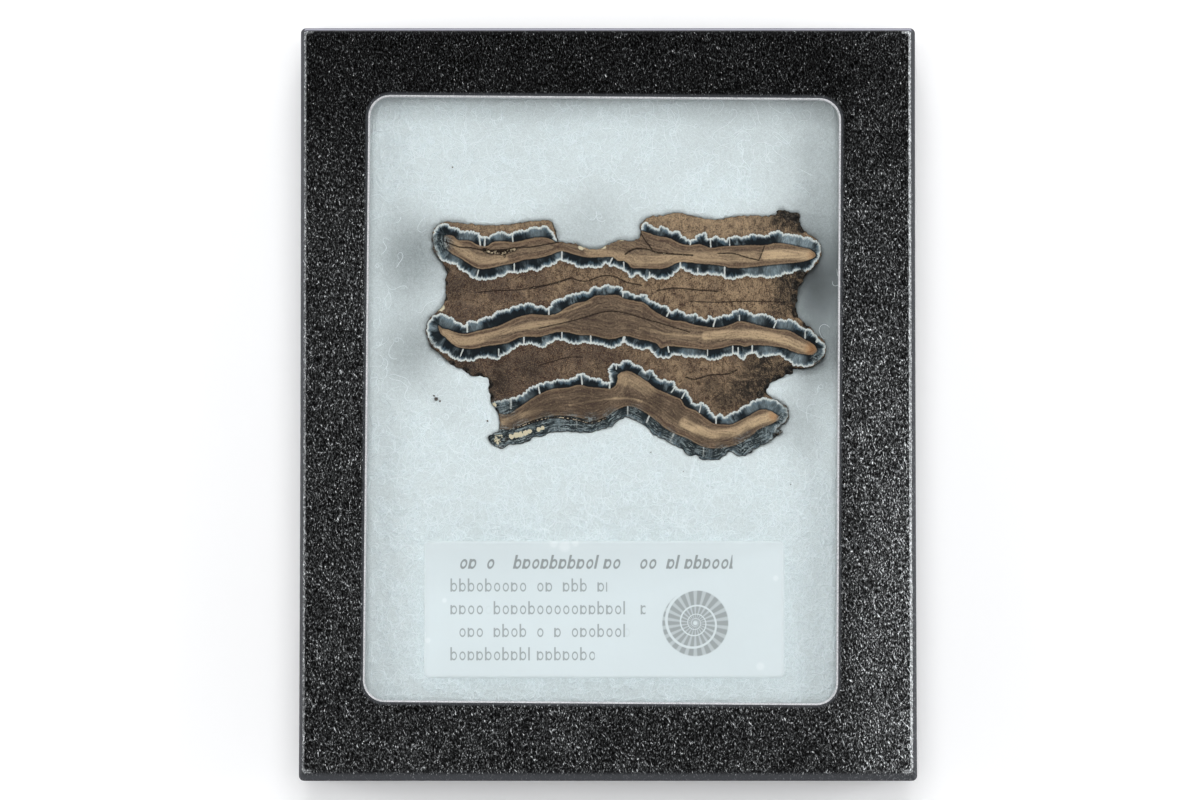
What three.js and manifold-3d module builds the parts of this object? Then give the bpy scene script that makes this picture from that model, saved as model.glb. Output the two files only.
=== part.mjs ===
// A slice of mammoth molar in its display case: a card tray and lid, a pane, a fibre pad that holds the
// slice against the pane, and a label on the pane. Millimetres, +Z up. The case lies on its back with
// the window up. The origin is on its underside, at the middle of the lid's outline.

import * as THREE from "three";
import * as BufferGeometryUtils from "three/addons/utils/BufferGeometryUtils.js";
import Module from "manifold-3d";

const wasm = await Module();
wasm.setup();

// Lid, the outermost piece
const CASE_WIDTH = 114.3;
const CASE_LENGTH = 139.7;
const CASE_HEIGHT = 19.05;
const BOARD = 1.6;
const LID_CORNER_RADIUS = 1;
const LID_EDGE_RADIUS = 0.8;
const LID_RIM_HEIGHT = 0.8; // the lid's open rim stays clear of the surface that the tray stands on

// Window in the lid's face, a little off centre and slightly turned
const WINDOW_WIDTH = 87.9;
const WINDOW_LENGTH = 112.6;
const WINDOW_RADIUS = 4;
const WINDOW_PLACE = [-1, 0.7];
const WINDOW_TURN = THREE.MathUtils.degToRad(-0.42);

// Fits
const SLIDE_GAP = 0.3; // between the lid's walls and what slides into them
const SOFT_GAP = 0.3; // round the fibre pad and the slice

// Pane, between the lid's face and the tray's walls
const PANE_THICKNESS = 2;

// Tray
const TRAY_CORNER_RADIUS = 0.8;

// Slice
const SLICE_THICKNESS = 6;
const SLICE_PLACE = [3.5, 12.45];
const SLICE_EDGE_ROUND = 0.4;

// Fibre pad
const PAD_CORNER_RADIUS = 3;
const PAD_EDGE_ROUND = 2;

// Label
const LABEL_WIDTH = 66.7;
const LABEL_HEIGHT = 25.4;
const LABEL_RADIUS = 1.1;
const LABEL_THICKNESS = 0.2;
const LABEL_PLACE = [-0.7, -38.2];

// Worked out from the above
const FACE_UNDERSIDE = CASE_HEIGHT - BOARD;
const PANE_UNDERSIDE = FACE_UNDERSIDE - PANE_THICKNESS;
const CAVITY_WIDTH = CASE_WIDTH - 2 * BOARD;
const CAVITY_LENGTH = CASE_LENGTH - 2 * BOARD;
const TRAY_WIDTH = CAVITY_WIDTH - 2 * SLIDE_GAP;
const TRAY_LENGTH = CAVITY_LENGTH - 2 * SLIDE_GAP;
const PAD_WIDTH = TRAY_WIDTH - 2 * BOARD - 2 * SOFT_GAP;
const PAD_LENGTH = TRAY_LENGTH - 2 * BOARD - 2 * SOFT_GAP;
const PAD_TOP = PANE_UNDERSIDE - SOFT_GAP;
const SLICE_TOP = PANE_UNDERSIDE - SOFT_GAP;
const SLICE_UNDERSIDE = SLICE_TOP - SLICE_THICKNESS;
const SEAT_HEIGHT = SLICE_UNDERSIDE - SOFT_GAP;

// The slice's outline about its own middle, clockwise from the top left. Three wavy plates lie one below
// the other: the first ends at the right tip of the top lobe, the second is the widest, and the third
// stands in from the left, with a gap on each side where two plates meet.
const SLICE_OUTLINE = [
  // top edge, with the long shallow bay in the first plate
  [-35.1, 20.9], [-31.9, 21.3], [-27.6, 20.9], [-22.9, 20.9], [-18.3, 21.5], [-14.2, 21.6],
  [-13.2, 19.2], [-12.7, 17.7], [-9.9, 17.4], [-7.3, 16.4], [-4.9, 16.4], [-0.9, 18.1], [2.4, 18.5],
  [2.8, 21.3], [4.7, 22.5], [9, 23.1], [13.6, 22.2], [17.5, 22.6], [22.9, 22.6], [28, 23.7], [32.3, 22.8],
  // right tip of the first plate, and the bay below it
  [33, 20], [35.4, 18.1], [36.4, 16.4], [36.2, 14.7], [33.8, 11.8], [31.9, 8.8], [31.5, 6], [32.6, 3],
  // right tip of the second plate, and the bay below it
  [35.3, 0.6], [37.3, -2.1], [36.9, -3.5], [34.1, -5.9], [31, -6.2], [28.7, -7.8], [26, -10],
  // right tip of the third plate
  [27.8, -11.8], [29.9, -13.1], [30, -15.5], [28.4, -17.4], [26.3, -19.8],
  // bottom edge, two lobes with a bay between them
  [22.4, -22], [19.4, -21.5], [17.4, -22.9], [13.8, -22.9], [11.2, -22], [7.1, -19.2], [3.9, -17.2],
  [-0.2, -15.1], [-3, -16.9], [-6.7, -17.9], [-12.9, -17.8], [-15.9, -18.8], [-19.8, -20.1],
  // broken left end of the third plate
  [-23.1, -21.1], [-25.4, -19.8], [-25.7, -18.7], [-23.7, -17], [-24.6, -13.4], [-25.7, -9.1],
  // left end of the second plate
  [-27.1, -7.5], [-29.7, -6.9], [-33.4, -4.6], [-36.2, -2.1], [-37.5, 1.3], [-36.4, 3.9], [-34.5, 5.6],
  // left end of the first plate
  [-33.8, 9], [-33.6, 11.9], [-35.3, 14.6], [-36.3, 18.1], [-36, 20],
];

// The hollow that the slice has pressed into the pad, a smooth line about 2 to 3.5 mm outside the slice
const SEAT_OUTLINE = [
  [-37.5, 22.9], [-25, 23.2], [-13, 23.8], [-9.5, 20.4], [-3, 19.9], [1, 22.8], [6, 25.2], [18, 25],
  [29, 26], [34.8, 23.8], [38.7, 17], [35.3, 9.5], [35.2, 4], [39.8, -2], [37.5, -6.8], [31.5, -9.3],
  [32.5, -13.5], [29.5, -20], [21.5, -24.8], [11.5, -24.8], [1.5, -18.4], [-5, -20.3], [-13, -20.4],
  [-22.5, -23.5], [-28, -21.5], [-27, -13], [-29, -9.3], [-36, -5.8], [-40, 1], [-36.6, 8], [-39, 17],
];
const SEAT_STEPS = 96;

/** A rectangle about the origin with rounded corners. */
function roundedRectangle(width, height, radius) {
  const x = width / 2;
  const y = height / 2;
  const shape = new THREE.Shape();
  shape.absarc(x - radius, y - radius, radius, 0, Math.PI / 2);
  shape.absarc(radius - x, y - radius, radius, Math.PI / 2, Math.PI);
  shape.absarc(radius - x, radius - y, radius, Math.PI, 1.5 * Math.PI);
  shape.absarc(x - radius, radius - y, radius, 1.5 * Math.PI, 2 * Math.PI);
  shape.closePath();
  return shape;
}

/** A straight-sided outline through the points. */
function polygon(points) {
  return new THREE.Shape(points.map(([x, y]) => new THREE.Vector2(x, y)));
}

/** A smooth closed outline through the points. */
function smoothOutline(points, steps) {
  const curve = new THREE.CatmullRomCurve3(points.map(([x, y]) => new THREE.Vector3(x, y, 0)), true);
  return polygon(curve.getPoints(steps).slice(0, steps).map((point) => [point.x, point.y]));
}

/** A slab of the outline between two heights, with its edges rounded inwards by edgeRound. */
function slab(shape, low, high, edgeRound = 0, edgeSegments = 3, curveSegments = 6) {
  const geometry = new THREE.ExtrudeGeometry(shape, {
    depth: high - low - 2 * edgeRound,
    curveSegments,
    bevelEnabled: edgeRound > 0,
    bevelThickness: edgeRound,
    bevelSize: edgeRound,
    bevelOffset: -edgeRound,
    bevelSegments: edgeSegments,
  });
  return geometry.translate(0, 0, low + edgeRound);
}

/** A box between two heights, centred in plan. */
function block(width, length, low, high) {
  return new THREE.BoxGeometry(width, length, high - low).translate(0, 0, (low + high) / 2);
}

/** The geometry as a solid that can be cut. */
function toSolid(geometry) {
  geometry.deleteAttribute("normal");
  geometry.deleteAttribute("uv");
  const merged = BufferGeometryUtils.mergeVertices(geometry, 1e-4);
  return new wasm.Manifold(new wasm.Mesh({
    numProp: 3,
    vertProperties: new Float32Array(merged.attributes.position.array),
    triVerts: new Uint32Array(merged.index.array),
  }));
}

/** The first geometry with each of the others cut out of it. */
function cut(blank, ...cutters) {
  const solid = cutters.reduce((left, cutter) => left.subtract(toSolid(cutter)), toSolid(blank));
  const mesh = solid.getMesh();
  const geometry = new THREE.BufferGeometry();
  geometry.setAttribute("position", new THREE.BufferAttribute(mesh.vertProperties, 3));
  geometry.setIndex(new THREE.BufferAttribute(mesh.triVerts, 1));
  geometry.computeVertexNormals();
  return geometry;
}

/** A named mesh with its own material. */
function piece(name, geometry, color, roughness, metalness = 0) {
  const mesh = new THREE.Mesh(geometry, new THREE.MeshStandardMaterial({ color, roughness, metalness }));
  mesh.name = name;
  return mesh;
}

/** The card tray that the pad lies in. */
function caseTray() {
  const outline = roundedRectangle(TRAY_WIDTH, TRAY_LENGTH, TRAY_CORNER_RADIUS);
  const blank = slab(outline, 0, PANE_UNDERSIDE);
  const hollow = block(TRAY_WIDTH - 2 * BOARD, TRAY_LENGTH - 2 * BOARD, BOARD, CASE_HEIGHT);
  return piece("case_tray", cut(blank, hollow), 0x17181b, 0.7);
}

/** The lid, which slides over the tray and has the window in its face. */
function caseLid() {
  const outline = roundedRectangle(CASE_WIDTH, CASE_LENGTH, LID_CORNER_RADIUS);
  const blank = slab(outline, -CASE_HEIGHT, CASE_HEIGHT, LID_EDGE_RADIUS);
  const belowRim = block(2 * CASE_WIDTH, 2 * CASE_LENGTH, -2 * CASE_HEIGHT, LID_RIM_HEIGHT);
  const hollow = block(CAVITY_WIDTH, CAVITY_LENGTH, -CASE_HEIGHT, FACE_UNDERSIDE);
  const window = slab(roundedRectangle(WINDOW_WIDTH, WINDOW_LENGTH, WINDOW_RADIUS), 0, 2 * CASE_HEIGHT);
  window.rotateZ(WINDOW_TURN);
  window.translate(...WINDOW_PLACE, 0);
  return piece("case_lid", cut(blank, belowRim, hollow, window), 0x1d1e22, 0.55);
}

/** The clear pane, held between the lid's face and the tray's walls. */
function windowPane() {
  const sheet = block(TRAY_WIDTH, TRAY_LENGTH, PANE_UNDERSIDE, FACE_UNDERSIDE);
  return piece("window_pane", sheet, 0xe8eef0, 0.05);
}

/** The pad of fibre, with the hollow that the slice lies in. */
function fibrePadding() {
  const outline = roundedRectangle(PAD_WIDTH, PAD_LENGTH, PAD_CORNER_RADIUS);
  const blank = slab(outline, BOARD, PAD_TOP, PAD_EDGE_ROUND);
  const seat = slab(smoothOutline(SEAT_OUTLINE, SEAT_STEPS), SEAT_HEIGHT, CASE_HEIGHT);
  seat.translate(...SLICE_PLACE, 0);
  return piece("fibre_padding", cut(blank, seat), 0xe9edf1, 0.95);
}

/** The slice of tooth. */
function molarSlice() {
  const geometry = slab(polygon(SLICE_OUTLINE), 0, SLICE_THICKNESS, SLICE_EDGE_ROUND, 2);
  const mesh = piece("molar_slice", geometry, 0x5a4a3c, 0.45);
  mesh.position.set(...SLICE_PLACE, SLICE_UNDERSIDE);
  return mesh;
}

/** The label stuck to the front of the pane. */
function label() {
  const outline = roundedRectangle(LABEL_WIDTH, LABEL_HEIGHT, LABEL_RADIUS);
  const mesh = piece("label", slab(outline, 0, LABEL_THICKNESS), 0xdfe3e4, 0.6);
  mesh.position.set(...LABEL_PLACE, FACE_UNDERSIDE);
  return mesh;
}

const displayCase = new THREE.Group();
displayCase.add(caseTray(), caseLid(), windowPane(), fibrePadding(), molarSlice(), label());

export default displayCase;
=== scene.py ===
"""A slice of mammoth molar in its display case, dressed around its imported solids. Metres, +Z up."""

import logging
import math
from dataclasses import dataclass, field
from enum import Enum
from typing import ClassVar, Optional, Sequence, Union

import bpy
import numpy as np
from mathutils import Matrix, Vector
from mathutils.geometry import delaunay_2d_cdt
from mathutils.kdtree import KDTree


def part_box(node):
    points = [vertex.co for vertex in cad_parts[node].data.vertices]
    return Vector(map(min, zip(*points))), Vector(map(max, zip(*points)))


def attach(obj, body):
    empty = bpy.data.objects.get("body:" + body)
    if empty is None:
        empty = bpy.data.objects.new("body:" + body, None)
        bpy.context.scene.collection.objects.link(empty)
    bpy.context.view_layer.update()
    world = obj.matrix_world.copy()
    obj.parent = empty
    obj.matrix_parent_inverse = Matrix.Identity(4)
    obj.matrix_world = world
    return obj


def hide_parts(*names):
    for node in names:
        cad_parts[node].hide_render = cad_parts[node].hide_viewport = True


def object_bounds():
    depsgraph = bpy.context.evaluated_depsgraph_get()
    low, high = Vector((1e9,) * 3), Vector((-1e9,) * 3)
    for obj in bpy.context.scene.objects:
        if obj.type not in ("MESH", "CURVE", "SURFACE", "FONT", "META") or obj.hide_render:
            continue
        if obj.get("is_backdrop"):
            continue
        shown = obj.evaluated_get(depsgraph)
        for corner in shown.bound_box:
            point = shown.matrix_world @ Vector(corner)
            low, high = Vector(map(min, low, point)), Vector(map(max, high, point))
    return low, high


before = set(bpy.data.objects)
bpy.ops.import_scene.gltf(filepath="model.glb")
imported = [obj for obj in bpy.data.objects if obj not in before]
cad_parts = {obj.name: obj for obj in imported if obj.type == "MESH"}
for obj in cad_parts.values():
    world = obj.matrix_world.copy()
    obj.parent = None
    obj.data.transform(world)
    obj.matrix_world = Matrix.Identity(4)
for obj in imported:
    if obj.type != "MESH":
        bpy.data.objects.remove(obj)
CAD_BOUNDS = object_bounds()

LOG = logging.getLogger("display_case")
MM = 0.001
BODY = "root"
FIBRE_LAYERS = 3
FIBRE_SEED = 100
FIBRES_DRAWN = 1750

Array = np.ndarray
Colour = tuple[float, float, float, float]
Place = tuple[float, float]
Stroke = Sequence[Place]
Rows = Sequence[tuple[float, ...]]
Piece = bpy.types.Object
Material = bpy.types.Material
Socket = bpy.types.NodeSocket
Feed = Union[float, tuple, "Wire"]


def shade(red: int, green: int, blue: int) -> Colour:
    """A colour as the eye reads it, from 0 to 255, in the linear form that the nodes take.

    Args:
        red: how red it is.
        green: how green it is.
        blue: how blue it is.

    Returns:
        The linear colour, opaque.
    """
    def straighten(level: int) -> float:
        """One channel in linear form."""
        share = level / 255
        return share / 12.92 if share <= 0.04045 else ((share + 0.055) / 1.055) ** 2.4
    return straighten(red), straighten(green), straighten(blue), 1.0


# ---------------------------------------------------------------- lines and meshes


def ripple(places: Array, wavelength: float, seed: int, waves: int = 16) -> Array:
    """Smooth random unevenness over the plan.

    Args:
        places: one row for each place, in millimetres.
        wavelength: the usual distance between two rises.
        seed: fixes the pattern.
        waves: how many plane waves are summed.

    Returns:
        A height for each place, mostly between -1 and 1.
    """
    draw = np.random.default_rng(seed)
    heading = draw.uniform(0, 2 * math.pi, waves)
    number = 2 * math.pi / (wavelength * draw.uniform(0.7, 1.5, waves))
    phase = draw.uniform(0, 2 * math.pi, waves)
    across = places[:, :1] * np.cos(heading) + places[:, 1:2] * np.sin(heading)
    return np.cos(across * number + phase).sum(1) / math.sqrt(waves)


def even_steps(line: Array, step: float, closed: bool) -> Array:
    """The line walked again in equal steps.

    Args:
        line: the line's points.
        step: the length of a step, about.
        closed: whether the line ends where it begins.

    Returns:
        The new points. A closed line's first point isn't repeated.
    """
    full = np.vstack([line, line[:1]]) if closed else line
    gone = np.concatenate([[0.0], np.cumsum(np.linalg.norm(np.diff(full, axis=0), axis=1))])
    count = max(int(round(gone[-1] / step)), 2)
    stops = np.linspace(0, gone[-1], count + 1)
    stops = stops[:-1] if closed else stops
    return np.column_stack([np.interp(stops, gone, full[:, axis]) for axis in range(full.shape[1])])


def flowing_line(points: Array, step: float, closed: bool) -> Array:
    """A centripetal Catmull-Rom line through the points, in even steps.

    Args:
        points: the points that it passes.
        step: the distance between two points of the result.
        closed: whether it ends where it begins.

    Returns:
        The line's points.
    """
    if closed:
        ring = np.vstack([points[-1:], points, points[:2]])
    else:
        ring = np.vstack([2 * points[:1] - points[1:2], points, 2 * points[-1:] - points[-2:-1]])
    parts = []
    for before, start, end, after in zip(ring, ring[1:], ring[2:], ring[3:]):
        knots = np.cumsum([0.0] + [max(float(np.linalg.norm(b - a)), 1e-6) ** 0.5
                                   for a, b in ((before, start), (start, end), (end, after))])
        at = np.linspace(knots[1], knots[2], 9)[:-1, None]

        def between(a: Array, b: Array, low: float, high: float) -> Array:
            """The mix of a and b as the knot value goes from low to high."""
            return a * (high - at) / (high - low) + b * (at - low) / (high - low)
        first = between(before, start, knots[0], knots[1])
        middle = between(start, end, knots[1], knots[2])
        last = between(end, after, knots[2], knots[3])
        left = between(first, middle, knots[0], knots[2])
        right = between(middle, last, knots[1], knots[3])
        parts.append(between(left, right, knots[1], knots[2]))
    line = np.vstack(parts)
    if not closed:
        line = np.vstack([line, points[-1:]])
    return even_steps(line, step, closed)


@dataclass(frozen=True)
class Reach:
    """How far each place lies from a line, and where along the line it is nearest."""

    distance: Array
    along: Array


def reach(places: Array, line: Array, closed: bool = False) -> Reach:
    """Measures each place against the line, whose points are evenly spaced.

    Args:
        places: one row for each place.
        line: the line's points.
        closed: whether the line ends where it begins.

    Returns:
        The distance to the line, and the length walked along it to the nearest point.
    """
    tree = KDTree(len(line))
    for index, (x, y) in enumerate(line.tolist()):
        tree.insert((x, y, 0.0), index)
    tree.balance()
    nearest = np.array([tree.find((x, y, 0.0))[1] for x, y in places.tolist()], int)
    walked = np.concatenate([[0.0], np.cumsum(np.linalg.norm(np.diff(line, axis=0), axis=1))])
    found = Reach(np.full(len(places), np.inf), np.zeros(len(places)))
    for start in (nearest - 1, nearest):
        start = start % len(line) if closed else np.clip(start, 0, len(line) - 2)
        run = line[(start + 1) % len(line)] - line[start]
        span = np.maximum((run ** 2).sum(1), 1e-12)
        offset = places - line[start]
        share = np.clip((offset * run).sum(1) / span, 0, 1)
        gap = np.linalg.norm(offset - share[:, None] * run, axis=1)
        closer = gap < found.distance
        found.distance[closer] = gap[closer]
        found.along[closer] = (walked[start] + share * np.sqrt(span))[closer]
    return found


def inside(places: Array, loop: Array) -> Array:
    """Tells which places lie inside a closed line.

    Args:
        places: one row for each place.
        loop: the line's points.

    Returns:
        A row of true and false.
    """
    order = places[:, 1].argsort()
    x, y = places[order, 0], places[order, 1]
    odd = np.zeros(len(places), bool)
    for (start_x, start_y), (end_x, end_y) in zip(loop, np.roll(loop, -1, axis=0)):
        if start_y != end_y:
            first, last = np.searchsorted(y, (min(start_y, end_y), max(start_y, end_y)))
            part = slice(first, last)
            odd[part] ^= x[part] < start_x + (y[part] - start_y) * (end_x - start_x) / (end_y - start_y)
    found = np.empty(len(places), bool)
    found[order] = odd
    return found


def depth_inside(places: Array, loop: Array) -> Reach:
    """Measures each place against a closed line, with the distance counted as negative outside it."""
    found = reach(places, loop, closed=True)
    return Reach(np.where(inside(places, loop), found.distance, -found.distance), found.along)


def ease(value: Array, low: float, high: float) -> Array:
    """A smooth step from 0 at low to 1 at high, for each value."""
    share = np.clip((value - low) / (high - low), 0, 1)
    return share * share * (3 - 2 * share)


def staggered_grid(low: Array, high: Array, pitch: float) -> Array:
    """Points in staggered rows over a rectangle.

    Args:
        low: the rectangle's lowest corner.
        high: its highest corner.
        pitch: the distance between neighbours.

    Returns:
        One row for each point.
    """
    rows = np.arange(low[1], high[1], pitch * math.sqrt(3) / 2)
    columns = np.arange(low[0], high[0], pitch)
    return np.vstack([np.column_stack([columns + (index % 2) * pitch / 2, np.full(len(columns), row)])
                      for index, row in enumerate(rows)])


@dataclass
class Net:
    """A flat triangle net. Its first points are the loop's, in order."""

    places: Array
    faces: Array
    loop: list[int]


def spread_net(loop: Array, filling: Array, creases: Sequence[Array] = ()) -> Net:
    """Fills a closed line with triangles.

    Args:
        loop: the closed line, anticlockwise.
        filling: points inside it.
        creases: open lines inside it that the triangles' edges follow.

    Returns:
        The net.
    """
    points = [Vector(place) for place in loop]
    edges = [(index, (index + 1) % len(loop)) for index in range(len(loop))]
    for crease in creases:
        first = len(points)
        points += [Vector(place) for place in crease]
        edges += [(first + index, first + index + 1) for index in range(len(crease) - 1)]
    points += [Vector(place) for place in filling]
    places, _, faces, origins, _, _ = delaunay_2d_cdt(points, edges, [], 1, 1e-5)
    whose = {origin: index for index, group in enumerate(origins) for origin in group}
    net = Net(np.array([tuple(place) for place in places]), np.array(faces, int),
              [whose[index] for index in range(len(loop))])
    corners = net.places[net.faces]
    sides = corners[:, 1:] - corners[:, :1]
    turned = sides[:, 0, 0] * sides[:, 1, 1] < sides[:, 0, 1] * sides[:, 1, 0]
    net.faces[turned] = net.faces[turned][:, ::-1]
    return net


def anticlockwise(loop: Array) -> Array:
    """The closed line, turned round if it runs clockwise.

    Args:
        loop: the line's points.

    Returns:
        The same points, running anticlockwise.
    """
    following = np.roll(loop, -1, axis=0)
    doubled_area = (loop[:, 0] * following[:, 1] - following[:, 0] * loop[:, 1]).sum()
    return loop if doubled_area > 0 else loop[::-1]


def rounded_ring(size: Sequence[float], radius: float, per_corner: int, per_side: int) -> Array:
    """A rectangle with rounded corners, anticlockwise, always with the same count of points.

    Args:
        size: its width and its length.
        radius: the corners' radius.
        per_corner: steps round each corner.
        per_side: steps along each side.

    Returns:
        The points, about the origin.
    """
    half_x, half_y = size[0] / 2 - radius, size[1] / 2 - radius
    points: list[Array] = []
    centres = ((half_x, half_y), (-half_x, half_y), (-half_x, -half_y), (half_x, -half_y))
    for quarter, (x, y) in enumerate(centres):
        angles = (quarter + np.linspace(0, 1, per_corner + 1)) * math.pi / 2
        points += [np.array([x + radius * math.cos(angle), y + radius * math.sin(angle)])
                   for angle in angles]
        next_x, next_y = centres[(quarter + 1) % 4]
        turn = (quarter + 1) * math.pi / 2
        end = np.array([next_x + radius * math.cos(turn), next_y + radius * math.sin(turn)])
        start = points[-1]
        points += [start + (end - start) * share for share in np.linspace(0, 1, per_side + 1)[1:-1]]
    return np.array(points)


def outward(loop: Array) -> Array:
    """The direction in which a closed line that runs anticlockwise faces, at each of its points.

    Args:
        loop: the line's points.

    Returns:
        A direction of length 1 for each point.
    """
    run = np.roll(loop, -1, axis=0) - np.roll(loop, 1, axis=0)
    run /= np.linalg.norm(run, axis=1)[:, None]
    return np.column_stack([run[:, 1], -run[:, 0]])


def raised(flat: Array, height: Union[float, Array]) -> Array:
    """The flat points, lifted to one height or to a height each."""
    return np.column_stack([flat, np.broadcast_to(height, len(flat))])


def wall(faces: list, upper: Sequence[int], first: int) -> tuple[list[int], int]:
    """Adds the triangles between a ring and a new one of equal count below it.

    Args:
        faces: the list that the triangles are added to. They face out if the rings run anticlockwise.
        upper: the vertices of the ring above.
        first: the number of the new ring's first vertex.

    Returns:
        The new ring's vertices, and the number after its last one.
    """
    lower = list(range(first, first + len(upper)))
    for index, corner in enumerate(lower):
        following = (index + 1) % len(lower)
        faces.append((corner, lower[following], upper[following]))
        faces.append((corner, upper[following], upper[index]))
    return lower, first + len(lower)


def in_mm(corners: Sequence[Sequence[float]]) -> tuple[Array, Array]:
    """A box's lowest and highest corner, turned from metres into millimetres."""
    low, high = corners
    return np.array(low) / MM, np.array(high) / MM


def make_piece(name: str, vertices: Array, faces: Sequence, smooth: bool = True) -> Piece:
    """A mesh object from plain lists.

    Args:
        name: the piece's name.
        vertices: one row for each vertex, in millimetres.
        faces: each face's vertices.
        smooth: whether it is shaded smooth.

    Returns:
        The object, linked to the scene.
    """
    mesh = bpy.data.meshes.new(name)
    mesh.from_pydata((np.asarray(vertices) * MM).tolist(), [], [tuple(map(int, face)) for face in faces])
    mesh.polygons.foreach_set("use_smooth", [smooth] * len(mesh.polygons))
    mesh.update()
    piece = bpy.data.objects.new(name, mesh)
    bpy.context.collection.objects.link(piece)
    return piece


def note(piece: Piece, name: str, values: Array) -> None:
    """Stores a number for each vertex, which the piece's material reads by name."""
    layer = piece.data.attributes.new(name, "FLOAT", "POINT")
    layer.data.foreach_set("value", np.asarray(values, np.float32))


def settle(piece: Piece, slot: str, material: Material, *nodes: str) -> None:
    """Dresses a piece, hangs it on the body and hides the solids that it takes the place of.

    Args:
        piece: the new piece.
        slot: the record's material slot. It is not used.
        material: its finish.
        *nodes: the solids that it takes the place of.
    """
    piece.data.materials.append(material)
    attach(piece, BODY)
    if nodes:
        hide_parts(*nodes)


def redress(node: str, material: Material) -> None:
    """Gives a carried-over solid its finish.

    Args:
        node: the solid's name.
        material: its finish.
    """
    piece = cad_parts[node]
    piece.data.materials.clear()
    piece.data.materials.append(material)


# ---------------------------------------------------------------- finishes


class Wire:
    """An output of a node that takes part in sums like a number."""

    def __init__(self, sheet: "NodeSheet", socket: Socket) -> None:
        """Holds the output and the sheet that it is on."""
        self.sheet, self.socket = sheet, socket

    def math(self, operation: str, other: Feed = 0.0) -> "Wire":
        """One step of arithmetic, named as Blender names it."""
        return self.sheet.add("Math", {0: self, 1: other}, operation=operation)

    def __add__(self, other: Feed) -> "Wire":
        """The sum."""
        return self.math("ADD", other)

    def __sub__(self, other: Feed) -> "Wire":
        """The difference."""
        return self.math("SUBTRACT", other)

    def __rsub__(self, other: float) -> "Wire":
        """What is left of a number."""
        return self.sheet.add("Math", {0: other, 1: self}, operation="SUBTRACT")

    def __mul__(self, other: Feed) -> "Wire":
        """The product."""
        return self.math("MULTIPLY", other)

    def __abs__(self) -> "Wire":
        """The amount without its sign."""
        return self.math("ABSOLUTE")

    __radd__, __rmul__ = __add__, __mul__

    def step(self, low: Feed, high: Feed) -> "Wire":
        """A smooth step from 0 at low to 1 at high."""
        feeds = {"Value": self, "From Min": low, "From Max": high}
        return self.sheet.add("MapRange", feeds, interpolation_type="SMOOTHSTEP")

    def noise(self, scale: float, detail: float = 2.0, roughness: float = 0.5,
              distortion: float = 0.0) -> "Wire":
        """Cloudy noise at this place, about 0.5 on average."""
        return self.sheet.add("TexNoise", {"Vector": self, "Scale": scale, "Detail": detail,
                                           "Roughness": roughness, "Distortion": distortion})

    def parts(self) -> tuple["Wire", ...]:
        """The three parts of a vector."""
        first = self.sheet.add("SeparateXYZ", {0: self})
        return tuple(Wire(self.sheet, socket) for socket in first.socket.node.outputs)


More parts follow.
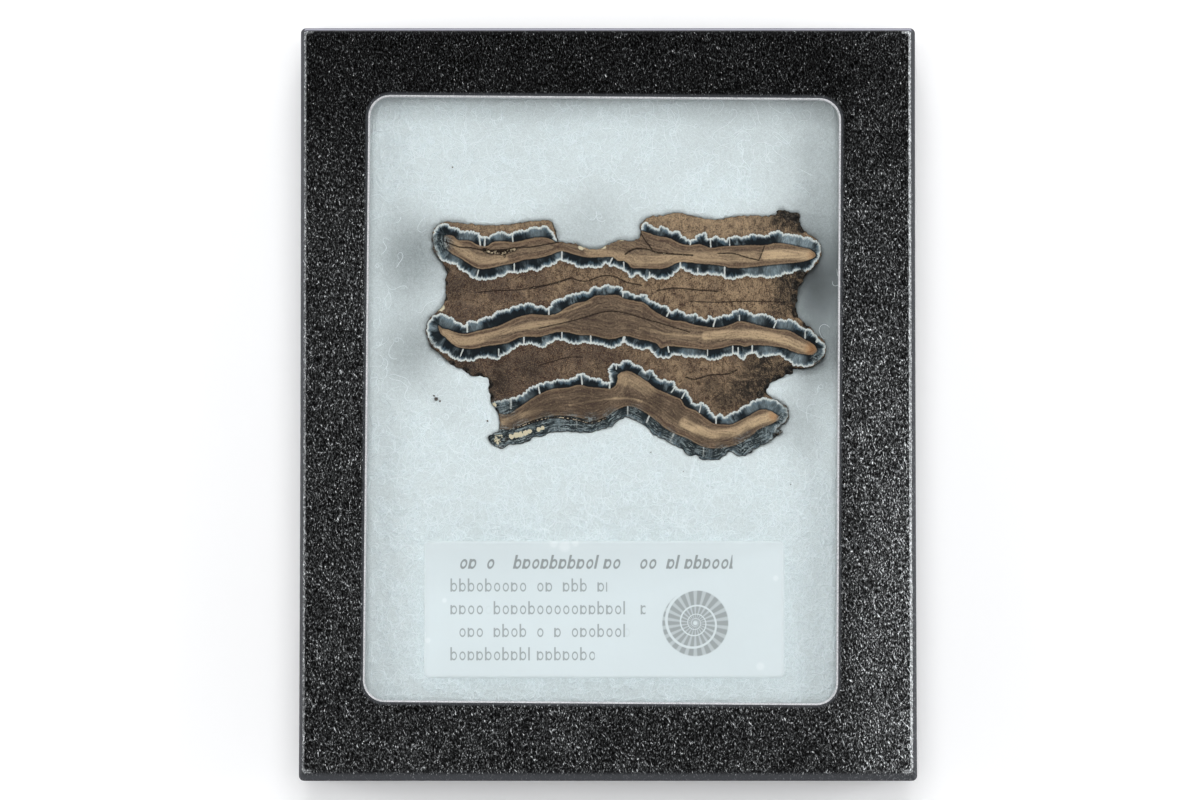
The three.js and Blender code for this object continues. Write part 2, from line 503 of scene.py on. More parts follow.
class NodeSheet:
    """A node tree, written one call at a time."""

    def __init__(self, name: str, kind: str = "materials") -> None:
        """Starts an empty tree.

        Args:
            name: the material's or world's name.
            kind: which of the two it is: "materials" or "worlds".
        """
        self.owner = getattr(bpy.data, kind).new(name)
        self.owner.use_nodes = True
        self.tree = self.owner.node_tree
        self.tree.nodes.clear()

    def node(self, kind: str, feeds: Optional[dict] = None, **settings: object) -> bpy.types.Node:
        """Adds a node.

        Args:
            kind: the node's type, without the word that they all begin with.
            feeds: a value or a wire for each input, by name or number.
            **settings: the node's own properties.

        Returns:
            The node.
        """
        node = self.tree.nodes.new("ShaderNode" + kind)
        for key, value in settings.items():
            setattr(node, key, value)
        for key, value in (feeds or {}).items():
            if isinstance(value, Wire):
                self.tree.links.new(value.socket, node.inputs[key])
            else:
                node.inputs[key].default_value = value
        return node

    def add(self, kind: str, feeds: Optional[dict] = None, out: Union[int, str] = 0,
            **settings: object) -> Wire:
        """Adds a node and hands over the output named or numbered out."""
        return Wire(self, self.node(kind, feeds, **settings).outputs[out])

    def attribute(self, name: str) -> Wire:
        """The number that the mesh holds under the name."""
        return self.add("Attribute", out="Fac", attribute_name=name)

    def place(self) -> Wire:
        """Where the point lies on the piece, in millimetres."""
        return self.add("VectorMath", {0: self.add("TexCoord", out="Object"), "Scale": 1 / MM},
                        operation="SCALE")

    def join(self, x: Feed, y: Feed = 0.0, z: Feed = 0.0) -> Wire:
        """A vector from its three parts."""
        return self.add("CombineXYZ", {0: x, 1: y, 2: z})

    def larger(self, a: Feed, b: Feed) -> Wire:
        """The larger of two numbers."""
        return self.add("Math", {0: a, 1: b}, operation="MAXIMUM")

    def distance(self, a: Wire, b: Wire) -> Wire:
        """The length of a line that runs so far one way and so far the other."""
        return (a * a + b * b).math("SQRT")

    def blend(self, share: Feed, a: Feed, b: Feed) -> Wire:
        """Colour a where the share is 0, and colour b where it is 1."""
        return self.add("Mix", {0: share, 6: a, 7: b}, 2, data_type="RGBA")

    def over(self, colour: Feed, *layers: tuple[Feed, Feed]) -> Feed:
        """Lays tints over a colour, from the lowest up, each given as its share and its colour.

        Args:
            colour: the ground.
            layers: the share and the colour of each tint.

        Returns:
            The mixed colour.
        """
        for share, tint in layers:
            colour = self.blend(share, colour, tint)
        return colour

    def finish(self, shader: Wire, output: str = "OutputMaterial") -> bpy.types.ID:
        """Puts the shader on the surface and hands over the material or world."""
        self.node(output, {"Surface": shader})
        return self.owner

    def painted(self, colour: Feed, roughness: Feed, relief: Optional[Wire] = None,
                depth_mm: float = 0.0, others: Optional[dict] = None) -> Material:
        """Finishes the sheet with one plain surface.

        Args:
            colour: its colour.
            roughness: how rough it is.
            relief: its height from 0 to 1, or None where it is flat.
            depth_mm: what that height is worth.
            others: more inputs of the surface, by name.

        Returns:
            The material.
        """
        feeds = {"Base Color": colour, "Roughness": roughness, **(others or {})}
        if relief is not None:
            bump = {"Height": relief, "Distance": depth_mm * MM, "Strength": 1.0}
            feeds["Normal"] = self.add("Bump", bump)
        return self.finish(self.add("BsdfPrincipled", feeds))


@dataclass(frozen=True)
class GrainedPaper:
    """Black paper pressed with a fine leather grain of upright ridges, worn smooth along the folds, with
    its lamp glints, sheen and fold highlights painted into its colour.
    """

    fold_ink: Colour = shade(71, 73, 77)
    # Painted highlight on the far fold: pale lavender, as the fold would reflect the bright floor at a
    # grazing angle
    far_fold_painted_highlight: Colour = shade(170, 170, 184)
    # The colour of the painted glints on the grain's high points
    grain_white: Colour = shade(246, 250, 253)
    ridges_across: float = 4.0
    ridges_along: float = 1.8
    grain_depth_mm: float = 0.2
    grain_middle: float = 0.51
    contrast: float = 23.0
    fold_contrast: float = 8.0
    darkest: float = 0.0042

    def painted_sheen(self, where: Wire) -> Wire:
        """How bright the paper's painted sheen is: darkest along the far side, brightest at the right near
        corner.

        Args:
            where: the place, in millimetres.

        Returns:
            The painted brightness of the grain's middle, as a share of white.
        """
        x, y, _ = where.parts()
        right = x.step(40.0, 52.0)
        shine = self.darkest + y.step(62.0, 25.0) * 0.011 + right * 0.003
        shine = shine + right * y.step(30.0, -20.0) * 0.026
        return shine * (0.17 + where.noise(0.14, 3.0, 0.6) * 1.3)

    def grain(self, sheet: NodeSheet, where: Wire) -> Wire:
        """The height of the pressed grain: ridges with beads on them, and fine creases.

        Args:
            sheet: the material's nodes.
            where: the place, in millimetres.

        Returns:
            The height, about grain_middle on average.
        """
        x, y, z = where.parts()
        drift = (where.noise(0.4) - 0.5) * 1.4
        upright = sheet.join((x + drift) * self.ridges_across, (y - drift) * self.ridges_along,
                             z * self.ridges_along)
        arcs = sheet.add("TexVoronoi", {"Vector": upright, "Scale": 0.2}, "Distance",
                         feature="DISTANCE_TO_EDGE")
        creases = (1.0 - arcs.step(0.0, 0.05)) * 0.07
        return upright.noise(1.0, 2.0, 0.6) * 0.62 + upright.noise(2.1, 1.0) * 0.38 + creases

    def material(self) -> Material:
        """Builds the paper's finish, with glints and fold highlights painted into its colour. It reads the
        vertex number edge.

        Returns:
            The material.
        """
        sheet = NodeSheet("grained_black_paper")
        where = sheet.place()
        worn = sheet.attribute("edge")
        x, y, z = where.parts()
        relief = self.grain(sheet, where)
        height = relief - self.grain_middle
        # Painted glints: the colour rises steeply on the grain's high points, as if they caught the lamps,
        # over the painted sheen
        level = self.painted_sheen(where) * (height * self.contrast).math("EXPONENT")
        # Painted highlight: a bright speckled line just inside the left and right folds, where their
        # rounding would catch the side lamps, brighter on the right
        turned = worn.step(0.05, 0.09) * worn.step(0.45, 0.25) * abs(x).step(54.4, 55.0)
        turned = turned * z.step(18.4, 18.7) * (0.22 + x.step(0.0, 1.0) * 0.28)
        level = level + turned * (height * self.fold_contrast).math("EXPONENT")
        ink = sheet.blend(level, shade(0, 0, 0), self.grain_white)
        # Painted highlight: the far fold takes the pale lavender colour
        far_fold_highlight = y.step(68.0, 68.6) * worn.step(0.84, 0.97) * abs(x).step(56.5, 56.2)
        fold = sheet.blend(far_fold_highlight, self.fold_ink, self.far_fold_painted_highlight)
        ink = sheet.blend(worn * 0.85, ink, fold)
        coarse = relief * (1.0 - worn * 0.95)
        return sheet.painted(ink, 0.24 + worn * 0.14, coarse, self.grain_depth_mm,
                             {"Specular IOR Level": 0.05})


@dataclass(frozen=True)
class TwoTone:
    """A plain finish of two tones that meet in specks or clouds.

    Attributes:
        name: the material's name.
        tones: its two colours.
        clouds: the scale, detail and roughness of the clouds.
        roughness: how rough the surface is.
        turn: where in the clouds the second tone begins and is full, or None for a plain mix.
        weave: the same three numbers for the relief, or None where the clouds are the relief too.
        depth_mm: how deep the relief is. It is flat at 0.
        glow: how much light it sends out of its own.
    """

    name: str
    tones: tuple[Colour, Colour]
    clouds: tuple[float, ...]
    roughness: float
    turn: Optional[tuple[float, float]] = None
    weave: Optional[tuple[float, ...]] = None
    depth_mm: float = 0.0
    glow: float = 0.0

    def material(self) -> Material:
        """Builds the finish.

        Returns:
            The material.
        """
        sheet = NodeSheet(self.name)
        where = sheet.place()
        clouds = where.noise(*self.clouds)
        colour = sheet.blend(clouds.step(*self.turn) if self.turn else clouds, *self.tones)
        others = {"Emission Color": (1.0, 1.0, 1.0, 1.0), "Emission Strength": self.glow}
        if not self.depth_mm:
            return sheet.painted(colour, self.roughness, others=others)
        relief = where.noise(*self.weave) if self.weave else clouds
        return sheet.painted(colour, self.roughness, relief, self.depth_mm, others)


# The pale, bare edge of card where the window was punched out
CUT_CARD = TwoTone("cut_card_edge", (shade(214, 215, 218), shade(150, 152, 156)), (4.0, 3.0, 0.6), 0.55,
                   turn=(0.35, 0.75), depth_mm=0.03)

# Plain black paper on the tray, with a faint weave and lighter rubbed patches
TRAY_PAPER = TwoTone("tray_black_paper", (shade(30, 30, 33), shade(48, 48, 52)), (0.25, 3.0), 0.6,
                     turn=(0.55, 0.8), weave=(3.2, 4.0, 0.65), depth_mm=0.06)

# One bright polyester fibre
STRAY_FIBRE = TwoTone("white_fibre", (shade(243, 249, 251), shade(228, 236, 240)), (0.4,), 0.5)

# Dark crumbs that fell from the slice
CRUMB_STONE = TwoTone("tooth_crumb", (shade(38, 36, 36), shade(120, 112, 104)), (3.0, 4.0, 0.7), 0.7,
                      turn=(0.4, 0.65), depth_mm=0.1)

# A plain white tabletop, lit a little from below
PALE_FLOOR = TwoTone("pale_floor", (shade(252, 252, 253), shade(249, 250, 252)), (0.01,), 0.7, glow=0.09)


@dataclass(frozen=True)
class ClearPane:
    """Thin clear glass that lamps shine through."""

    ior: float = 1.45
    roughness: float = 0.04
    tint: Colour = (0.985, 0.99, 0.99, 1.0)

    def material(self) -> Material:
        """Builds the pane's finish. Only the side that light enters by reflects.

        Returns:
            The material.
        """
        sheet = NodeSheet("clear_pane")
        mirror = sheet.add("BsdfGlossy", {"Roughness": self.roughness})
        clear = sheet.add("BsdfTransparent", {"Color": self.tint})
        entering = 1.0 - sheet.add("NewGeometry", out="Backfacing")
        share = sheet.add("Fresnel", {"IOR": self.ior}) * entering
        return sheet.finish(sheet.add("MixShader", {0: share, 1: clear, 2: mirror}))


@dataclass(frozen=True)
class Batting:
    """The pad's matted white fibre, which light soaks into, with shade painted darker where it sinks."""

    white: Colour = shade(230, 239, 241)
    # The painted shade of the pad's hollows, and of the most sunken ones
    hollow_painted_shade: Colour = shade(162, 170, 172)
    deepest_painted_shade: Colour = shade(98, 103, 105)

    def material(self) -> Material:
        """Builds the pad's finish. It reads the vertex numbers sunk and deep, which set its painted shade.

        Returns:
            The material.
        """
        sheet = NodeSheet("white_batting")
        where = sheet.place()
        curls = where.noise(2.2, 3.0, 0.7)
        threads = where.noise(3.0, 1.0, 0.5, 1.1)
        # Painted shade: the pad is coloured darker where it sinks and darkest in its most sunken hollows,
        # over its fibre tone
        painted_shade_and_fibre_tone = sheet.attribute("sunk") * 0.9 + where.noise(0.06).step(0.5, 0.8) * 0.05
        painted_shade_and_fibre_tone = painted_shade_and_fibre_tone + curls.step(0.62, 0.38) * 0.12 + abs(threads - 0.5).step(0.0, 0.1) * 0.24
        colour = sheet.over(self.white, (painted_shade_and_fibre_tone, self.hollow_painted_shade), (sheet.attribute("deep"), self.deepest_painted_shade))
        return sheet.painted(colour, 0.9, curls + threads * 0.5, 0.12, {"Specular IOR Level": 0.1})


@dataclass(frozen=True)
class Tooth:
    """The cut face of a fossil molar: dark enamel with a white rim, banded dentine and brown cement."""

    rim: Colour = shade(232, 234, 228)
    rim_shaded: Colour = shade(190, 198, 198)
    enamel_dark: Colour = shade(14, 22, 27)
    enamel_blue: Colour = shade(84, 106, 120)
    enamel_pale: Colour = shade(152, 168, 175)
    enamel_halo: Colour = shade(138, 154, 162)
    enamel_streak: Colour = shade(12, 20, 26)
    enamel_foot: Colour = shade(10, 14, 18)
    dentine: Colour = shade(132, 113, 92)
    dentine_light: Colour = shade(198, 172, 138)
    dentine_dark: Colour = shade(74, 60, 52)
    dentine_rind: Colour = shade(92, 68, 54)
    rust: Colour = shade(166, 120, 78)
    dusk: Colour = shade(68, 55, 46)
    thread_light: Colour = shade(178, 154, 122)
    thread_dark: Colour = shade(54, 40, 33)
    fleck_light: Colour = shade(182, 156, 122)
    fleck_dark: Colour = shade(56, 42, 35)
    seam_light: Colour = shade(166, 144, 112)
    cement_left: Colour = shade(96, 82, 71)
    cement_right: Colour = shade(160, 137, 110)
    cement_dark: Colour = shade(56, 41, 34)
    cement_top: Colour = shade(196, 174, 146)
    grain_orange: Colour = shade(182, 145, 104)
    grain_dark: Colour = shade(40, 28, 23)
    grain_white: Colour = shade(206, 196, 178)
    cement_foot: Colour = shade(70, 48, 36)
    stain: Colour = shade(32, 29, 27)
    rift_white: Colour = shade(214, 218, 214)
    worn_grey: Colour = shade(64, 74, 77)
    worn_pit: Colour = shade(34, 40, 43)
    flake_light: Colour = shade(150, 162, 164)
    flake_dark: Colour = shade(20, 26, 29)
    worn_speck: Colour = shade(172, 182, 182)
    cream: Colour = shade(208, 198, 170)
    crack: Colour = shade(24, 17, 14)
    crack_grit: Colour = shade(206, 188, 158)
    crust: Colour = shade(24, 24, 25)
    crust_grey: Colour = shade(98, 90, 80)
    deepest_notch_mm: float = 0.34
    relief_mm: float = 0.14

    def arches(self, sheet: NodeSheet, along: Wire, per_mm: float, phase: float, height: float) -> Wire:
        """A row of arches along the band, each highest in its middle.

        Args:
            sheet: the material's nodes.
            along: the length walked along the band, in millimetres.
            per_mm: how many arches stand on a millimetre.
            phase: shifts the pattern.
            height: how quickly an arch falls off.

        Returns:
            How far the edge is cut back, 0 or less.
        """
        feeds = {"W": along * per_mm + phase, "Scale": 1.0}
        away = sheet.add("TexVoronoi", feeds, "Distance", voronoi_dimensions="1D")
        return away * away * -height

    def scallops(self, sheet: NodeSheet, depth: Wire) -> Wire:
        """The depth into the enamel, measured from its scalloped outer edge.

        Args:
            sheet: the material's nodes.
            depth: how far in from the band's drawn edge, in millimetres.

        Returns:
            How far in from the scalloped edge, in millimetres.
        """
        along = sheet.attribute("along")
        points = sheet.join(along * 4.2, 9.1).noise(1.0, 2.0, 0.7)
        cut_back = self.arches(sheet, along, 0.72, 3.1, 0.75) + self.arches(sheet, along, 2.1, 8.4, 0.4)
        cut_back = sheet.larger(cut_back, -self.deepest_notch_mm) + (points - 0.5) * 0.36
        return depth + 0.1 + cut_back

    def enamel(self, sheet: NodeSheet, depth: Wire, back: Wire) -> tuple[Wire, Wire]:
        """The colour of an enamel band, from its rim inwards.

        Args:
            sheet: the material's nodes.
            depth: how far in from the rim, in millimetres.
            back: how far from the dentine, in millimetres.

        Returns:
            The band's colour, and the share of it that is rim.
        """
        along = sheet.attribute("along")
        across = depth * 0.6
        streaks = sheet.join(along * 3.4, across).noise(1.0, 3.0, 0.7)
        blots = sheet.join(along * 0.8, across, 4.0).noise(1.0, 3.0, 0.65)
        patches = sheet.join(along * 0.3).noise(1.0, 1.0)
        thick = 0.16 + sheet.join(along * 1.1, 7.7).noise(1.0, 2.0, 0.7) * 0.42
        reach_in = depth + (streaks - 0.5) * 0.9
        rim = (1.0 - reach_in.step(thick * 0.6, thick * 1.5)) * (1.0 - sheet.attribute("worn") * 0.7)
        fade = depth + (streaks - 0.5) * 1.7 - (blots - 0.5) * 3.0
        light = patches.step(0.48, 0.68) * 0.6 * blots.step(0.3, 0.6) * streaks.step(0.3, 0.5)
        pale = sheet.attribute("pale") * (0.55 + blots.step(0.3, 0.6) * 0.45)
        core = sheet.over(
            self.enamel_blue,
            (fade.step(0.15, 1.0), self.enamel_dark),
            (reach_in.step(thick + 0.5, thick) * 0.5, self.enamel_halo),
            (sheet.larger(light, pale), self.enamel_pale),
            (streaks.step(0.62, 0.44) * 0.4, self.enamel_streak),
            ((1.0 - back.step(0.05, 0.38)) * 0.75, self.enamel_foot),
        )
        chalk = sheet.blend(streaks.step(0.62, 0.44), self.rim, self.rim_shaded)
        return sheet.blend(rim, core, chalk), rim

    def ivory(self, sheet: NodeSheet, where: Wire, inner: Wire) -> Wire:
        """The dentine's colour: growth layers that follow the band, and light stripes in its middle.

        Args:
            sheet: the material's nodes.
            where: the place, in millimetres.
            inner: how far in from the enamel, in millimetres.

        Returns:
            The colour.
        """
        x, _, _ = where.parts()
        layers = sheet.join(x * 0.11, inner * 1.9).noise(1.0, 3.0, 0.65)
        threads = sheet.join(x * 0.6, inner * 4.2, 3.0).noise(1.0, 5.0, 0.75)
        mottle = where.noise(3.1, 6.0, 0.8)
        mix = layers * 0.42 + threads * 0.22 + mottle * 0.36
        return sheet.over(
            self.dentine_dark,
            (mix.step(0.41, 0.58), self.dentine),
            ((1.0 - inner.step(0.5, 1.2)) * 0.32, self.dentine_rind),
            (sheet.attribute("light") * (0.5 + mix.step(0.4, 0.56) * 0.5), self.dentine_light),
            (sheet.attribute("rusty") * 0.6, self.rust),
            (sheet.attribute("dusky") * 0.75, self.dusk),
            (threads.step(0.53, 0.66) * 0.3, self.thread_light),
            (threads.step(0.47, 0.34) * 0.28, self.thread_dark),
            (mottle.step(0.56, 0.68) * 0.35, self.fleck_light),
            (mottle.step(0.44, 0.33) * 0.5, self.fleck_dark),
            (inner.step(0.34, 0.16) * inner.step(0.02, 0.12) * 0.3, self.seam_light),
        )

    def infill(self, sheet: NodeSheet, where: Wire, away: Wire) -> Wire:
        """The cement's colour: short streaks that stand on the bands, orange specks and darker ends.

        Args:
            sheet: the material's nodes.
            where: the place, in millimetres.
            away: how far from the nearest band, in millimetres.

        Returns:
            The colour.
        """
        x, y, _ = where.parts()
        streaks = sheet.join(sheet.attribute("along") * 2.6, away * 0.7).noise(1.0, 4.0, 0.75)
        clouds = where.noise(0.28, 4.0, 0.65)
        blots = where.noise(0.9, 5.0, 0.75)
        grains = where.noise(5.0, 4.0, 0.8)
        side = x.step(-34.0, 30.0) + (clouds - 0.5) * 2.7
        side = side + y.step(29.0, 31.5) * 0.6 - y.step(16.0, 10.0) * 0.35
        mix = streaks * 0.36 + (blots * 0.26 + grains * 0.38)
        return sheet.over(
            self.cement_dark,
            (mix.step(0.42, 0.56), sheet.blend(side, self.cement_left, self.cement_right)),
            (y.step(29.0, 31.0) * 0.12, self.cement_top),
            (grains.step(0.54, 0.64) * 0.6, self.grain_orange),
            (grains.step(0.46, 0.37) * 0.65, self.grain_dark),
            (grains.step(0.66, 0.72) * 0.8, self.grain_white),
            ((1.0 - away.step(0.05, 0.7)) * 0.35, self.cement_foot),
            (sheet.attribute("stain") * mix.step(0.64, 0.46), self.stain),
        )

    def flaws(self, sheet: NodeSheet, colour: Wire, in_band: Wire, where: Wire) -> tuple[Wire, Wire]:
        """Rifts, worn patches, cracks and crust, laid over the clean colours.

        Args:
            sheet: the material's nodes.
            colour: the clean colour.
            in_band: the share of the place that is enamel.
            where: the place, in millimetres.

        Returns:
            The colour, and the share of it that is crust.
        """
        flecks = where.noise(2.6, 4.0, 0.7)
        wander = (flecks - 0.5) * 0.22
        rift = (1.0 - (sheet.attribute("rift") + wander).step(0.02, 0.11)) * (0.06 + in_band * 0.74)
        worn = sheet.attribute("worn")
        lumps = where.noise(1.3, 4.0, 0.7)
        flakes = sheet.join(sheet.attribute("along") * 0.55, sheet.attribute("outer") * 3.4, 5.0)
        flakes = flakes.noise(1.0, 3.0, 0.7)
        creamy = (sheet.attribute("creamy") + (lumps - 0.5) * 1.8).step(0.5, 0.66)
        opening = sheet.attribute("crack") + wander * 1.6
        grit = opening.step(-0.06, -0.16) * where.noise(2.2).step(0.5, 0.58)
        crust = (sheet.attribute("crust") + flecks * 0.7).step(0.8, 1.0)
        crumbs = where.noise(1.9, 5.0, 0.78).step(0.47, 0.66)
        colour = sheet.over(
            colour,
            (rift, self.rift_white),
            (worn * 0.6, self.worn_grey),
            (worn * lumps.step(0.5, 0.42), self.worn_pit),
            (worn * flakes.step(0.52, 0.6), self.flake_light),
            (worn * flakes.step(0.47, 0.41), self.flake_dark),
            (worn * flecks.step(0.57, 0.66), self.worn_speck),
            (creamy, self.cream),
            ((1.0 - opening.step(0.0, 0.13)) * 0.9, self.crack),
            (grit, self.crack_grit),
            # Dark crust, which along the outline also stands for painted shade at the slice's edge
            (crust * 0.92, sheet.blend(crumbs, self.crust, self.crust_grey)),
        )
        return colour, crust

    def material(self) -> Material:
        """Builds the tooth's finish. It reads the vertex numbers that MolarSlice notes.

        Returns:
            The material.
        """
        sheet = NodeSheet("fossil_molar")
        where = sheet.place()
        outer, inner = sheet.attribute("outer"), sheet.attribute("inner")
        ragged = self.scallops(sheet, outer)
        seam = inner + (where.noise(1.6, 3.0, 0.6) - 0.5) * 0.3
        back = seam * -1.0
        band, rim = self.enamel(sheet, ragged, back)
        colour = sheet.over(
            self.infill(sheet, where, outer * -1.0),
            (ragged.step(-0.05, 0.05), band),
            (seam.step(-0.04, 0.04), self.ivory(sheet, where, inner)),
        )
        in_band = ragged.step(0.0, 0.08) * back.step(-0.02, 0.05)
        colour, crust = self.flaws(sheet, colour, in_band, where)
        grit = where.noise(2.4, 5.0, 0.75)
        relief = grit * (0.5 - in_band * 0.4 + crust) + rim * 0.15
        gloss = crust * 0.3 + (0.42 + grit * 0.2)
        return sheet.painted(colour, gloss, relief, self.relief_mm, {"Specular IOR Level": 0.14})


# ---------------------------------------------------------------- the tooth's plan


@dataclass(frozen=True)
class Plate:
    """One enamel plate of the tooth: the line round its enamel, and the line round the dentine in it."""

    rim: Stroke
    heart: Stroke


@dataclass(frozen=True)
class Spot:
    """A round patch on the plan that fades towards its edge."""

    x: float
    y: float
    radius: float
    strength: float = 1.0


def scatter(*rows: tuple) -> tuple[Spot, ...]:
    """A spot from each row of its numbers."""
    return tuple(Spot(*row) for row in rows)


class ToothPlan:
    """The slice's plan, drawn on a square grid with x to the right and y down.

    Every line and patch below is in steps of that grid, so that they can be read against each other.
    """

    STEPS_PER_MM: ClassVar[float] = 5.36

    OUTLINE: ClassVar[Stroke] = (
        (439, 226), (446, 223), (456, 224), (479, 226), (492, 227), (504, 226), (514, 225), (529, 223),
        (541, 222), (551, 222), (554, 228), (556, 235), (559, 243), (567, 244), (574, 245), (581, 247),
        (588, 250), (601, 250), (606, 247), (613, 244), (622, 241), (629, 243), (640, 239), (641, 233),
        (640, 229), (642, 224), (648, 219), (652, 217.5), (663, 217), (675, 214), (688, 216), (700, 219),
        (717, 221), (734, 218), (750, 217), (771, 217), (780, 213), (778, 211), (791, 213), (800, 216),
        (801, 224), (804, 231), (811, 237), (817, 241), (822, 250), (821, 259), (816, 267), (808, 275),
        (803, 283), (798, 291), (798, 301), (796, 306), (797, 313), (802, 322), (810, 328), (816, 335),
        (823, 341), (827, 349), (825, 357), (819, 364), (810, 369.5), (800, 370.5), (793, 371), (793, 375),
        (787, 376), (781, 380), (773, 383), (769, 387), (766.5, 391.5), (769, 397), (776, 401), (781, 405),
        (787, 408), (789, 414), (788, 421), (782, 427), (779, 431), (783, 433), (776, 438), (768, 444),
        (757, 449), (747, 456), (742, 458), (737, 457), (731, 453), (725, 456), (720, 460.5), (709, 462),
        (701, 460.5), (696, 456), (691, 457.5), (687, 456), (683, 451), (676, 448), (665, 441), (653, 436),
        (648, 430), (641, 425), (634, 421), (626, 419), (618, 423), (611, 428.5), (602, 431), (591, 434),
        (580, 434), (575, 433.5), (558, 433.5), (550, 434.5), (542, 438.5), (535, 438), (529, 443),
        (521, 445.5), (508, 447), (503, 451), (496, 448), (491, 444), (489, 438), (498, 433.5), (500, 429),
        (499, 417), (495, 410), (492, 404), (490, 393), (489.5, 387), (489, 380), (482, 378), (474, 378),
        (468, 375), (462, 371), (453, 367), (448, 362.5), (440, 355), (433, 349), (428, 341), (426, 331),
        (428, 324), (432, 317), (437, 314), (442, 308), (446, 300), (446, 290), (446, 281), (447, 274),
        (444.6, 267.5), (438, 260), (433.5, 250), (432.6, 241), (434, 231),
    )

    TOP_PLATE: ClassVar[Plate] = Plate(
        rim=(
            (440, 226), (447, 225.5), (456, 229), (465, 232), (475, 233), (479.5, 235), (482, 238),
            (487, 238), (493, 236), (501, 233), (511, 234.5), (519, 232), (528, 230), (537, 228),
            (548, 228), (553, 232), (556.5, 240), (561, 240), (575, 236), (600, 236), (625, 232),
            (637, 234), (641, 229), (645, 224), (650, 225), (655, 229.5), (663, 227.5), (670, 231.5),
            (680, 233.5), (684, 238), (692, 241.5), (697, 237), (705, 233.5), (710, 240), (717, 237.5),
            (726, 241), (732, 237.5), (744, 238), (756, 235), (764, 237.5), (771, 234), (777, 232),
            (788, 235.5), (801, 237), (811, 239.5), (819, 244), (821, 251), (820, 258), (817, 264),
            (809, 272), (791, 275), (777, 279), (764, 280), (754.5, 279), (744, 279), (728, 282),
            (722, 278), (710, 277), (695, 276.5), (688, 274), (681, 271), (671, 279), (662, 282),
            (650, 279), (648, 283), (637, 276), (632, 280), (626, 275), (622, 271), (611, 268.5),
            (607, 266), (601, 269.5), (591, 269.5), (579, 269.5), (571, 266), (561.5, 262.5),
            (554.5, 266.5), (545.5, 270), (539, 273), (530, 272.5), (521, 275.5), (514, 274.5),
            (501, 279), (493, 281), (483, 282), (475, 281), (468, 277), (461, 272), (454.5, 266.5),
            (445.5, 264.5), (439, 258.5), (435, 248), (433.5, 240), (434.5, 232),
        ),
        heart=(
            (445, 237.5), (454.5, 238), (458, 241.5), (470, 242.5), (479, 247), (487, 248), (493, 244),
            (505, 243), (514, 244), (528, 241), (541, 239), (550, 240.5), (557, 244), (561, 240),
            (566, 233), (600, 232), (625, 228), (636, 229), (641, 232), (645, 233.5), (657, 237.5),
            (670, 240), (681, 245.5), (690, 247), (701, 246), (710, 249.5), (724, 248), (734, 247.5),
            (750, 247), (764, 247), (775, 245), (785, 245.5), (801, 249), (811, 251.5), (816, 257.5),
            (804, 263), (784, 265.5), (764, 267.5), (744, 269.5), (730, 269.5), (724, 268), (710, 266),
            (700, 265.5), (690, 264), (679, 264), (670.5, 268), (662, 270.5), (652, 270.5), (642, 270),
            (632, 269.5), (628, 265), (623, 262.5), (618, 262.5), (613.5, 259), (601, 259), (586, 259),
            (574, 256), (561, 253), (550, 257), (541, 259.5), (523, 262), (514, 265), (501, 267.5),
            (487.5, 270.5), (479, 270.5), (470, 266), (461, 260), (452, 255), (445.5, 248),
        ),
    )

